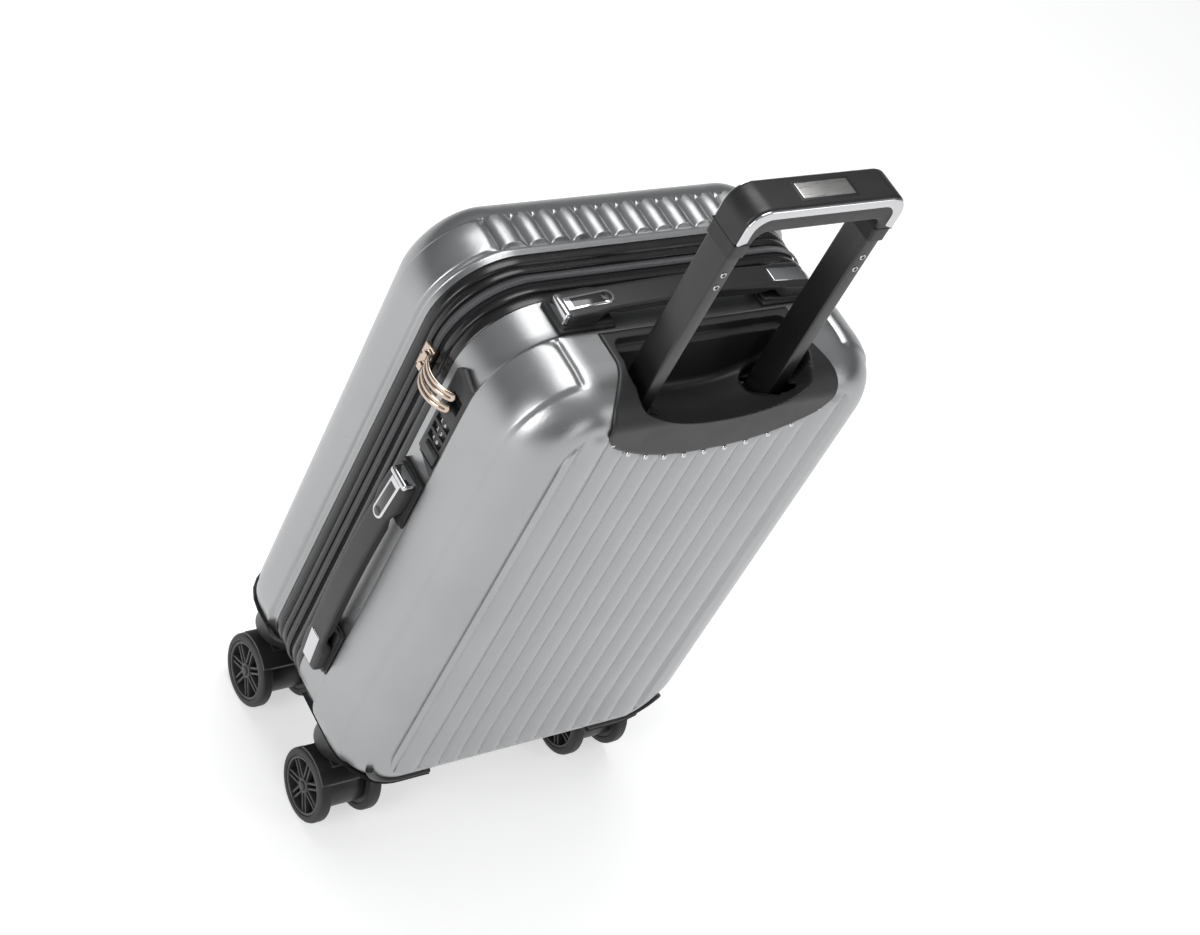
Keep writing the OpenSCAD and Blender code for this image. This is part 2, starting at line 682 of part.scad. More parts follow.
place() trolley_grip();
place() grip_trims();
place() grip_button();
place() button_rods();
place() trolley_rivets();
place() at_caster(-1, caster_back_y) fork();  // fork_back_left
place() at_caster(-1, caster_back_y) axle();  // axle_back_left
place() at_caster(-1, caster_back_y) wheel(-1);  // wheel_back_left_outer
place() at_caster(-1, caster_back_y) wheel(1);  // wheel_back_left_inner
place() at_caster(1, caster_back_y) fork();  // fork_back_right
place() at_caster(1, caster_back_y) axle();  // axle_back_right
place() at_caster(1, caster_back_y) wheel(1);  // wheel_back_right_outer
place() at_caster(1, caster_back_y) wheel(-1);  // wheel_back_right_inner
place() at_caster(-1, caster_front_y) fork();  // fork_front_left
place() at_caster(-1, caster_front_y) axle();  // axle_front_left
place() at_caster(-1, caster_front_y) wheel(-1);  // wheel_front_left_outer
place() at_caster(-1, caster_front_y) wheel(1);  // wheel_front_left_inner
place() at_caster(1, caster_front_y) fork();  // fork_front_right
place() at_caster(1, caster_front_y) axle();  // axle_front_right
place() at_caster(1, caster_front_y) wheel(1);  // wheel_front_right_outer
place() at_caster(1, caster_front_y) wheel(-1);  // wheel_front_right_inner
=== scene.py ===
import bpy
import math
import json
import numpy as np
from mathutils import Matrix, Vector


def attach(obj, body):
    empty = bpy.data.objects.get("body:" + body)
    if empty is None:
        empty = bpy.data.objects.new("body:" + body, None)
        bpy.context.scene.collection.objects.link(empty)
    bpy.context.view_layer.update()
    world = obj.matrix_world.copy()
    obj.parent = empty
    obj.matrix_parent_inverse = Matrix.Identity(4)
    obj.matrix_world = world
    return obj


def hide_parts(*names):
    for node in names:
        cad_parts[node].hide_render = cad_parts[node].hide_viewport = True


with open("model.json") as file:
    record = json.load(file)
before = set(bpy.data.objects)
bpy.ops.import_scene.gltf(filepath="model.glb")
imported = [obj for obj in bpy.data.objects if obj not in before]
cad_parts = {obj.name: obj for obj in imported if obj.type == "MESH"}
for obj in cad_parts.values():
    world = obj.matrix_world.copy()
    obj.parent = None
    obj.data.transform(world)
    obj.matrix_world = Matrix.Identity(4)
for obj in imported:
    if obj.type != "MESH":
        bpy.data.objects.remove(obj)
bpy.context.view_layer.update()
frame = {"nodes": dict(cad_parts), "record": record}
mm = 0.001
middleX = 8.75  # the case's middle plane in mm, right of the origin because of the side handle
x0 = middleX * mm
print("stage: frame loaded")


# camera, lights and floor

stageSet = {
    "camera": (-1.06742, -0.86209, 1.62249),
    "lens": 72.204,
    "shift": (-0.025, -0.09792),
    "right": (0.791375, -0.475337, 0.384422),
    "down": (-0.119232, -0.736764, -0.665554),
    "forward": (0.599591, 0.480868, -0.639732),
    "floor": (0.7, 0.7, 0.705),
    "sky": 1.0,
    "skyLow": (0.05, 0.05, 0.052),
    "skyHigh": (0.55, 0.56, 0.57),
    "skyStrength": 0.6,
    "floorGlow": 0.53,
}
studioLights = {
    "overheadSoftbox": {"at": (0.1, 0.6, 2.6), "aim": (0, 0, 0.3), "size": (1.6, 1.6), "power": 36},
    "leftSoftbox": {"at": (-2.3, -0.5, 1.2), "aim": (0, 0, 0.35), "size": (0.9, 1.6), "power": 27},
    "rightStrip": {"at": (1.7, -1.9, 1.5), "aim": (0, 0, 0.4), "size": (0.5, 2.2), "power": 9},
    "backStrip": {"at": (-0.2, -2.6, 1.1), "aim": (0, 0, 0.3), "size": (0.7, 1.4), "power": 6},
}


def clearSelection():
    bpy.ops.object.select_all(action="DESELECT")


def makeCamera(s):
    bpy.ops.object.camera_add()
    cam = bpy.context.object
    cam.name = "studioCamera"
    r, d, f = (Vector(s[k]) for k in ("right", "down", "forward"))
    turn = Matrix((r, -d, -f)).transposed().to_4x4()
    cam.matrix_world = Matrix.Translation(s["camera"]) @ turn
    cam.data.lens = s["lens"]
    cam.data.sensor_width = 36
    cam.data.shift_x, cam.data.shift_y = s["shift"]
    cam.data.clip_end = 100
    cam.data.dof.use_dof = False
    bpy.context.scene.camera = cam


def softLight(name, at, aim, size, power):
    bpy.ops.object.light_add(type="AREA", location=at)
    lamp = bpy.context.object
    lamp.name = name
    lamp.rotation_mode = "QUATERNION"
    lamp.rotation_quaternion = (Vector(aim) - Vector(at)).to_track_quat("-Z", "Y")
    lamp.data.shape = "RECTANGLE"
    lamp.data.size, lamp.data.size_y = size
    lamp.data.energy = power


def makeStage(s):
    world = bpy.data.worlds.new("studio")
    bpy.context.scene.world = world
    world.use_nodes = True
    nt = world.node_tree
    nt.nodes.clear()
    out = nt.nodes.new("ShaderNodeOutputWorld")
    mix = nt.nodes.new("ShaderNodeMixShader")
    path = nt.nodes.new("ShaderNodeLightPath")
    seen = nt.nodes.new("ShaderNodeBackground")
    felt = nt.nodes.new("ShaderNodeBackground")
    seen.inputs[0].default_value = (1, 1, 1, 1)
    seen.inputs[1].default_value = s["sky"]
    way = nt.nodes.new("ShaderNodeTexCoord")
    sep = nt.nodes.new("ShaderNodeSeparateXYZ")
    ramp = nt.nodes.new("ShaderNodeValToRGB")
    nt.links.new(way.outputs["Generated"], sep.inputs[0])
    nt.links.new(sep.outputs[2], ramp.inputs[0])
    ramp.color_ramp.elements[0].position = 0.0
    ramp.color_ramp.elements[0].color = (*s["skyLow"], 1)
    ramp.color_ramp.elements[1].position = 0.75
    ramp.color_ramp.elements[1].color = (*s["skyHigh"], 1)
    nt.links.new(ramp.outputs[0], felt.inputs[0])
    felt.inputs[1].default_value = s["skyStrength"]
    nt.links.new(path.outputs["Is Camera Ray"], mix.inputs[0])
    nt.links.new(felt.outputs[0], mix.inputs[1])
    nt.links.new(seen.outputs[0], mix.inputs[2])
    nt.links.new(mix.outputs[0], out.inputs[0])
    clearSelection()
    bpy.ops.mesh.primitive_plane_add(size=70, location=(0, 0, 0))
    floor = bpy.context.object
    floor.name = "studioFloor"
    mat = bpy.data.materials.new("paleFloor")
    mat.use_nodes = True
    b = mat.node_tree.nodes["Principled BSDF"]
    b.inputs["Base Color"].default_value = (*s["floor"], 1)
    b.inputs["Roughness"].default_value = 0.75
    b.inputs["Specular IOR Level"].default_value = 0.2
    b.inputs["Emission Color"].default_value = (1, 1, 1, 1)
    b.inputs["Emission Strength"].default_value = s["floorGlow"]
    floor.data.materials.append(mat)
    for name, lamp in studioLights.items():
        softLight(name, **lamp)


makeCamera(stageSet)
makeStage(stageSet)
print("stage: camera, lights and floor")


# materials

def group(name, ins, outs):
    # a new node group with its inputs and outputs
    g = bpy.data.node_groups.new(name, "ShaderNodeTree")
    for n, value in ins:
        sock = g.interface.new_socket(name=n, in_out="INPUT", socket_type="NodeSocketFloat")
        sock.default_value = value
    for n in outs:
        g.interface.new_socket(name=n, in_out="OUTPUT", socket_type="NodeSocketFloat")
    return g, g.nodes.new("NodeGroupInput"), g.nodes.new("NodeGroupOutput")


def mathNode(tree, op, a, b=None, c=None):
    n = tree.nodes.new("ShaderNodeMath")
    n.operation = op
    for i, v in enumerate((a, b, c)):
        if v is None:
            continue
        if isinstance(v, (int, float)):
            n.inputs[i].default_value = v
        else:
            tree.links.new(v, n.inputs[i])
    return n.outputs[0]


def crossHatchGroup():
    # fine diamond hatch pressed into the shell sheet
    g, gi, go = group("crossHatch", [("Pitch", 0.0011), ("Unevenness", 0.3)], ["Height", "Mottle"])
    tc = g.nodes.new("ShaderNodeTexCoord")
    sep = g.nodes.new("ShaderNodeSeparateXYZ")
    g.links.new(tc.outputs["Object"], sep.inputs[0])
    flat = mathNode(g, "ADD", sep.outputs[0], sep.outputs[1])
    turns = mathNode(g, "DIVIDE", 6.2832, gi.outputs["Pitch"])
    one = mathNode(g, "SINE", mathNode(g, "MULTIPLY", mathNode(g, "ADD", flat, sep.outputs[2]), turns))
    two = mathNode(g, "SINE", mathNode(g, "MULTIPLY", mathNode(g, "SUBTRACT", flat, sep.outputs[2]), turns))
    both = mathNode(g, "MAXIMUM", one, two)
    noise = g.nodes.new("ShaderNodeTexNoise")
    noise.inputs["Scale"].default_value = 14
    noise.inputs["Detail"].default_value = 3
    g.links.new(tc.outputs["Object"], noise.inputs["Vector"])
    soft = mathNode(g, "MULTIPLY", noise.outputs[0], gi.outputs["Unevenness"])
    g.links.new(mathNode(g, "ADD", mathNode(g, "MULTIPLY", both, 0.5), soft), go.inputs["Height"])
    g.links.new(noise.outputs[0], go.inputs["Mottle"])
    return g


def grainGroup():
    # leathery or sandy grain of moulded plastic
    g, gi, go = group("mouldedGrain", [("Scale", 900.0), ("Patch", 9.0)], ["Height", "Patches"])
    tc = g.nodes.new("ShaderNodeTexCoord")
    fine = g.nodes.new("ShaderNodeTexVoronoi")
    fine.feature = "SMOOTH_F1"
    g.links.new(gi.outputs["Scale"], fine.inputs["Scale"])
    broad = g.nodes.new("ShaderNodeTexNoise")
    broad.inputs["Detail"].default_value = 4
    g.links.new(gi.outputs["Patch"], broad.inputs["Scale"])
    for n in (fine, broad):
        g.links.new(tc.outputs["Object"], n.inputs["Vector"])
    g.links.new(fine.outputs["Distance"], go.inputs["Height"])
    g.links.new(broad.outputs[0], go.inputs["Patches"])
    return g


def weaveGroup():
    # plain weave that follows two directions on the surface
    g, gi, go = group("plainWeave", [("Pitch", 0.001)], ["Height", "Threads"])
    tc = g.nodes.new("ShaderNodeTexCoord")
    sep = g.nodes.new("ShaderNodeSeparateXYZ")
    g.links.new(tc.outputs["Object"], sep.inputs[0])
    turns = mathNode(g, "DIVIDE", 6.2832, gi.outputs["Pitch"])
    along = mathNode(g, "ADD", sep.outputs[0], sep.outputs[2])
    one = mathNode(g, "SINE", mathNode(g, "MULTIPLY", along, turns))
    two = mathNode(g, "SINE", mathNode(g, "MULTIPLY", sep.outputs[1], turns))
    threads = mathNode(g, "MULTIPLY", one, two)
    g.links.new(threads, go.inputs["Height"])
    g.links.new(mathNode(g, "MULTIPLY_ADD", threads, 0.5, 0.5), go.inputs["Threads"])
    return g


def scuffGroup():
    # fine hairline marks and rubbed places
    g, gi, go = group("handlingMarks", [("Scale", 30.0), ("Stretch", 14.0)], ["Marks"])
    tc = g.nodes.new("ShaderNodeTexCoord")
    comb = g.nodes.new("ShaderNodeCombineXYZ")
    for i in (0, 2):
        comb.inputs[i].default_value = 1
    g.links.new(gi.outputs["Stretch"], comb.inputs[1])
    mul = g.nodes.new("ShaderNodeVectorMath")
    mul.operation = "MULTIPLY"
    g.links.new(tc.outputs["Object"], mul.inputs[0])
    g.links.new(comb.outputs[0], mul.inputs[1])
    n = g.nodes.new("ShaderNodeTexNoise")
    n.inputs["Detail"].default_value = 6
    n.inputs["Roughness"].default_value = 0.65
    g.links.new(gi.outputs["Scale"], n.inputs["Scale"])
    g.links.new(mul.outputs[0], n.inputs["Vector"])
    g.links.new(n.outputs[0], go.inputs["Marks"])
    return g


crossHatch = crossHatchGroup()
mouldedGrain = grainGroup()
plainWeave = weaveGroup()
handlingMarks = scuffGroup()


def place(nt, g, **values):
    n = nt.nodes.new("ShaderNodeGroup")
    n.node_tree = g
    for k, v in values.items():
        n.inputs[k.replace("_", " ")].default_value = v
    return n


def spread(nt, value, low, high):
    n = nt.nodes.new("ShaderNodeMapRange")
    n.inputs["From Min"].default_value = 0.25
    n.inputs["From Max"].default_value = 0.75
    n.inputs["To Min"].default_value = low
    n.inputs["To Max"].default_value = high
    nt.links.new(value, n.inputs["Value"])
    return n.outputs[0]


def blendColors(nt, value, a, b):
    n = nt.nodes.new("ShaderNodeMix")
    n.data_type = "RGBA"
    n.inputs["A"].default_value = (*a, 1)
    n.inputs["B"].default_value = (*b, 1)
    nt.links.new(value, n.inputs["Factor"])
    return n.outputs["Result"]


def bump(nt, height, strength, distance, under=None):
    n = nt.nodes.new("ShaderNodeBump")
    n.inputs["Strength"].default_value = strength
    n.inputs["Distance"].default_value = distance
    nt.links.new(height, n.inputs["Height"])
    if under is not None:
        nt.links.new(under, n.inputs["Normal"])
    return n.outputs[0]


def startMaterial(name, metallic=0.0, coat=0.0, coatRough=0.1, specular=0.5):
    m = bpy.data.materials.new(name)
    m.use_nodes = True
    b = m.node_tree.nodes["Principled BSDF"]
    b.inputs["Metallic"].default_value = metallic
    b.inputs["Coat Weight"].default_value = coat
    b.inputs["Coat Roughness"].default_value = coatRough
    b.inputs["Specular IOR Level"].default_value = specular
    return m, m.node_tree, b


def silverShell():
    m, nt, b = startMaterial("silverShell", metallic=0.86, coat=0.12, coatRough=0.25)
    h = place(nt, crossHatch, Pitch=0.0012, Unevenness=0.25)
    s = place(nt, handlingMarks, Scale=22.0, Stretch=5.0)
    silver = blendColors(nt, h.outputs["Mottle"], (0.335, 0.339, 0.343), (0.385, 0.389, 0.393))
    nt.links.new(silver, b.inputs["Base Color"])
    nt.links.new(spread(nt, s.outputs["Marks"], 0.27, 0.33), b.inputs["Roughness"])
    nt.links.new(bump(nt, h.outputs["Height"], 0.22, 0.00012), b.inputs["Normal"])
    return m


def plastic(name, dark, light, rough, grain=900.0, depth=0.00006, strength=0.25, coat=0.0, specular=0.5):
    m, nt, b = startMaterial(name, coat=coat, coatRough=0.2, specular=specular)
    g = place(nt, mouldedGrain, Scale=grain, Patch=11.0)
    s = place(nt, handlingMarks, Scale=40.0, Stretch=3.0)
    nt.links.new(blendColors(nt, g.outputs["Patches"], dark, light), b.inputs["Base Color"])
    nt.links.new(spread(nt, s.outputs["Marks"], rough - 0.05, rough + 0.06), b.inputs["Roughness"])
    nt.links.new(bump(nt, g.outputs["Height"], strength, depth), b.inputs["Normal"])
    return m


def metal(name, dark, light, rough, stretch=14.0, strength=0.05, metallic=1.0):
    m, nt, b = startMaterial(name, metallic=metallic)
    s = place(nt, handlingMarks, Scale=60.0, Stretch=stretch)
    nt.links.new(blendColors(nt, s.outputs["Marks"], dark, light), b.inputs["Base Color"])
    nt.links.new(spread(nt, s.outputs["Marks"], rough * 0.75, rough * 1.3), b.inputs["Roughness"])
    nt.links.new(bump(nt, s.outputs["Marks"], strength, 0.00005), b.inputs["Normal"])
    return m


def cloth(name, dark, light, pitch):
    m, nt, b = startMaterial(name, specular=0.25)
    w = place(nt, plainWeave, Pitch=pitch)
    g = place(nt, mouldedGrain, Scale=2500.0, Patch=20.0)
    nt.links.new(blendColors(nt, w.outputs["Threads"], dark, light), b.inputs["Base Color"])
    nt.links.new(spread(nt, g.outputs["Patches"], 0.7, 0.9), b.inputs["Roughness"])
    nt.links.new(bump(nt, w.outputs["Height"], 0.7, pitch * 0.3), b.inputs["Normal"])
    return m


finishes = {
    "shell": silverShell(),
    "band": plastic("bandRubber", (0.006, 0.006, 0.0065), (0.011, 0.011, 0.012), 0.26,
                    grain=700.0, strength=0.12),
    "tape": cloth("zipTape", (0.008, 0.008, 0.009), (0.022, 0.022, 0.024), 0.0009),
    "coil": plastic("coilNylon", (0.05, 0.05, 0.053), (0.09, 0.09, 0.095), 0.3, strength=0.1),
    "lining": cloth("liningCloth", (0.05, 0.05, 0.055), (0.1, 0.1, 0.108), 0.0012),
    "tubeSilver": metal("anodisedSilver", (0.55, 0.55, 0.56), (0.68, 0.68, 0.69), 0.32),
    "tubeBlack": plastic("blackTube", (0.008, 0.008, 0.0085), (0.014, 0.014, 0.015), 0.3,
                         grain=1500.0, strength=0.08, coat=0.2),
    "moulding": plastic("cupMoulding", (0.009, 0.009, 0.0095), (0.016, 0.016, 0.017), 0.44,
                        grain=1100.0, strength=0.3),
    "softGrip": plastic("softGrip", (0.008, 0.008, 0.0085), (0.015, 0.015, 0.016), 0.42,
                        grain=1300.0, strength=0.3),
    "chrome": metal("chromeTrim", (0.56, 0.56, 0.57), (0.64, 0.64, 0.65), 0.09, strength=0.02),
    "brushed": metal("brushedButton", (0.5, 0.49, 0.48), (0.6, 0.59, 0.57), 0.3),
    "steel": metal("drawnSteel", (0.45, 0.45, 0.46), (0.6, 0.6, 0.61), 0.25),
    "gold": metal("paleGold", (0.50, 0.40, 0.33), (0.62, 0.51, 0.43), 0.2, strength=0.03),
    "dial": plastic("dialBlack", (0.01, 0.01, 0.01), (0.018, 0.018, 0.018), 0.3, strength=0.08),
    "digit": plastic("digitWhite", (0.75, 0.75, 0.74), (0.85, 0.85, 0.84), 0.45, strength=0.05),
    "tyre": plastic("tyreRubber", (0.012, 0.012, 0.012), (0.022, 0.022, 0.022), 0.55,
                    grain=1400.0, strength=0.35),
    "wheelHub": plastic("hubPlastic", (0.03, 0.03, 0.032), (0.045, 0.045, 0.047), 0.42, strength=0.2),
    "hardBlack": plastic("casterBlack", (0.009, 0.009, 0.0095), (0.016, 0.016, 0.017), 0.42, strength=0.25),
    "windowBlack": plastic("windowBlack", (0.01, 0.01, 0.011), (0.016, 0.016, 0.017), 0.12,
                           strength=0.03, coat=0.5),
    "dark": plastic("deepBlack", (0.003, 0.003, 0.003), (0.006, 0.006, 0.006), 0.7, strength=0.1),
}
nodeFinish = {
    "shell": "shell", "band": "band", "tape": "tape", "lining": "lining", "tube_silver": "tubeSilver",
    "tube_black": "tubeBlack", "moulding": "moulding", "soft_grip": "softGrip", "chrome_trim": "chrome",
    "brushed": "brushed", "steel": "steel", "zip_metal": "gold", "dial": "dial", "wheel": "wheelHub",
    "hard_black": "hardBlack",
}
for sub in frame["record"]["subparts"]:
    node = frame["nodes"][sub["node"]]
    node.data.materials.clear()
    node.data.materials.append(finishes[nodeFinish[sub["material_slot"]]])
print("stage: materials")


# shared making

def meshObject(name, verts, faces):
    me = bpy.data.meshes.new(name)
    me.from_pydata([tuple(v) for v in verts], [], [tuple(f) for f in faces])
    me.update()
    ob = bpy.data.objects.new(name, me)
    bpy.context.scene.collection.objects.link(ob)
    return ob


def meshCopy(name, src):
    ob = bpy.data.objects.new(name, src.data.copy())
    bpy.context.scene.collection.objects.link(ob)
    return ob


def useOnly(ob):
    clearSelection()
    ob.select_set(True)
    bpy.context.view_layer.objects.active = ob


def applyAll(ob):
    useOnly(ob)
    for m in list(ob.modifiers):
        bpy.ops.object.modifier_apply(modifier=m.name)


def settle(ob):
    # the piece's place goes into its mesh
    useOnly(ob)
    bpy.ops.object.transform_apply(location=True, rotation=True, scale=True)


def smooth(ob, angle=35):
    useOnly(ob)
    bpy.ops.object.shade_smooth_by_angle(angle=math.radians(angle))


def outward(ob, merge=0.00001):
    useOnly(ob)
    bpy.ops.object.mode_set(mode="EDIT")
    bpy.ops.mesh.select_all(action="SELECT")
    bpy.ops.mesh.remove_doubles(threshold=merge)
    bpy.ops.mesh.normals_make_consistent(inside=False)
    bpy.ops.object.mode_set(mode="OBJECT")


def dress(ob, body, finish, stands=(), angle=35):
    ob.data.materials.clear()
    ob.data.materials.append(finishes[finish])
    if angle:
        smooth(ob, angle)
    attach(ob, body)
    if stands:
        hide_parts(*stands)
    return ob


def bevelled(ob, width, segments=3, angle=30):
    m = ob.modifiers.new("edges", "BEVEL")
    m.width = width
    m.segments = segments
    m.limit_method = "ANGLE"
    m.angle_limit = math.radians(angle)
    m.harden_normals = False
    applyAll(ob)
    return ob


def block(name, lo, hi, edge=0.0006, segments=3):
    # box from corner to corner in mm with rounded edges
    clearSelection()
    lo, hi = Vector(lo), Vector(hi)
    mid = (lo + hi) / 2 * mm + Vector((x0, 0, 0))
    bpy.ops.mesh.primitive_cube_add(size=1, location=mid, scale=(hi - lo) * mm)
    ob = bpy.context.object
    ob.name = name
    settle(ob)
    if edge:
        bevelled(ob, edge, segments)
    return ob


def pin(name, centre, radius, depth, axis, edge=0.0004, sides=48):
    clearSelection()
    turn = {"x": (0, math.pi / 2, 0), "y": (math.pi / 2, 0, 0), "z": (0, 0, 0)}[axis]
    bpy.ops.mesh.primitive_cylinder_add(radius=radius * mm, depth=depth * mm, vertices=sides, rotation=turn,
                                        location=Vector(centre) * mm + Vector((x0, 0, 0)))
    ob = bpy.context.object
    ob.name = name
    settle(ob)
    if edge:
        bevelled(ob, edge, 3, 50)
    return ob


def joined(name, parts):
    clearSelection()
    for p in parts:
        p.select_set(True)
    bpy.context.view_layer.objects.active = parts[0]
    if len(parts) > 1:
        bpy.ops.object.join()
    ob = bpy.context.object
    ob.name = name
    ob.data.name = name
    return ob


def softCopy(name, node, width, segments=2, angle=32):
    # a CAD piece with its doubles merged, flat faces cleaned and edges rounded
    ob = meshCopy(name, frame["nodes"][node])
    useOnly(ob)
    bpy.ops.object.mode_set(mode="EDIT")
    bpy.ops.mesh.select_all(action="SELECT")
    bpy.ops.mesh.remove_doubles(threshold=0.00001)
    bpy.ops.mesh.dissolve_limited(angle_limit=math.radians(1.5))
    bpy.ops.object.mode_set(mode="OBJECT")
    return bevelled(ob, width, segments, angle)


def softened(name, node, width, body, finish):
    # a softened copy that stands for its own CAD piece
    return dress(softCopy(name, node, width), body, finish, (node,))


def sectionFaces(rows, ring, closed=False):
    # faces between matching rings of points; the two ends are closed unless it runs round
    faces = []
    for i in range(rows if closed else rows - 1):
        j = (i + 1) % rows
        for q in range(ring):
            r = (q + 1) % ring
            faces.append((i * ring + q, i * ring + r, j * ring + r, j * ring + q))
    if not closed:
        faces.append(tuple(range(ring)))
        faces.append(tuple((rows - 1) * ring + q for q in range(ring - 1, -1, -1)))
    return faces


def sweep(name, path, normals, profile, closed=True):
    # profile points (out, across) carried along the path; across is the given side direction
    verts = []
    for point, (out, side) in zip(np.array(path), np.array(normals)):
        for a, b in profile:
            verts.append(point + out * a + side * b)
    ob = meshObject(name, np.array(verts), sectionFaces(len(path), len(profile), closed))
    outward(ob)
    return ob


def smoothstep(t):
    t = np.clip(t, 0, 1)
    return t * t * (3 - 2 * t)


def softMin(a, b, k):
    h = np.clip(0.5 + 0.5 * (b - a) / k, 0, 1)
    return b * (1 - h) + a * h - k * h * (1 - h)


def softMax(a, b, k):
    return -softMin(-a, -b, k)


# shells

shellSet = {
    "halfWidth": 168.0, "bottom": 78.0, "top": 548.0, "corner": 60.0, "edge": 36.0, "edgeSquash": 0.7,
    "ribs": 12, "ribPitch": 19.0, "ribHalf": 121.0, "crest": 3.0, "valley": 5.2, "faceShare": 0.6,
    "ribSteps": [0, 0.03, 0.06, 0.1, 0.15, 0.22, 0.31, 0.41, 0.5, 0.59, 0.69, 0.78, 0.85, 0.9, 0.94, 0.97, 1],
    "cornerSteps": 26, "faceRows": 150, "wall": 2.4,
}
halves = {
    "back": {"side": -1, "bandY": 0, "depth": 103, "stepAt": 33, "roundAt": 60, "topRound": 1.0},
    "front": {"side": 1, "bandY": 45, "depth": 59, "stepAt": 7, "roundAt": 24, "topRound": 0.62},
}


def ribEdges(s):
    inner = [(k - s["ribs"] / 2) * s["ribPitch"] for k in range(1, s["ribs"])]
    return np.array([-s["ribHalf"]] + inner + [s["ribHalf"]])


def ribHeight(s, x):
    # rounded ribs side by side, with narrow valleys between them
    e = ribEdges(s)
    k = np.clip(np.searchsorted(e, x) - 1, 0, s["ribs"] - 1)
    t = (x - e[k]) / (e[k + 1] - e[k])
    h = s["crest"] - s["valley"] * np.abs(2 * t - 1) ** 2.2
    return np.where(np.abs(x) < s["ribHalf"], h, 0)


def outlinePoints(s, inset, flatX, arcT):
    # upper half of the loop at this inset: left corner, ribbed middle, right corner
    w, hz = s["halfWidth"] - s["corner"], (s["top"] - s["bottom"]) / 2
    rx, rz = s["corner"] - inset, s["corner"] - s["edgeSquash"] * inset
    dx = np.clip(np.abs(flatX) - w, 0, None)
    zf = hz - s["corner"] + rz * np.sqrt(np.clip(1 - (dx / rx) ** 2, 0, 1))
    nxf, nzf = np.where(dx > 0, np.sign(flatX) * dx / rx, 0), np.sqrt(np.clip(1 - (dx / rx) ** 2, 0, 1))
    a = np.arccos((s["ribHalf"] - w) / rx) * (1 - arcT)
    xr, zr = w + rx * np.cos(a), hz - s["corner"] + rz * np.sin(a)
    x = np.concatenate([-xr[::-1], flatX, xr])
    z = np.concatenate([zr[::-1], zf, zr])
    nx = np.concatenate([-np.cos(a)[::-1], nxf, np.cos(a)])
    nz = np.concatenate([np.sin(a)[::-1], nzf, np.sin(a)])
    return x, z, nx, nz


def cupEdge(x, grow=0.0):
    # lower edge of the pull handle's cup on the back
    ax = np.abs(x)
    return 548 - 59.5 - grow + 28 * (ax / 100) ** 2.4 + 9 * smoothstep((ax - 90) / 12)


def cupWide(y):
    # half width of the cup, narrower over the top edge
    return 87.0 + 17.0 * smoothstep((-y - 62) / 42)


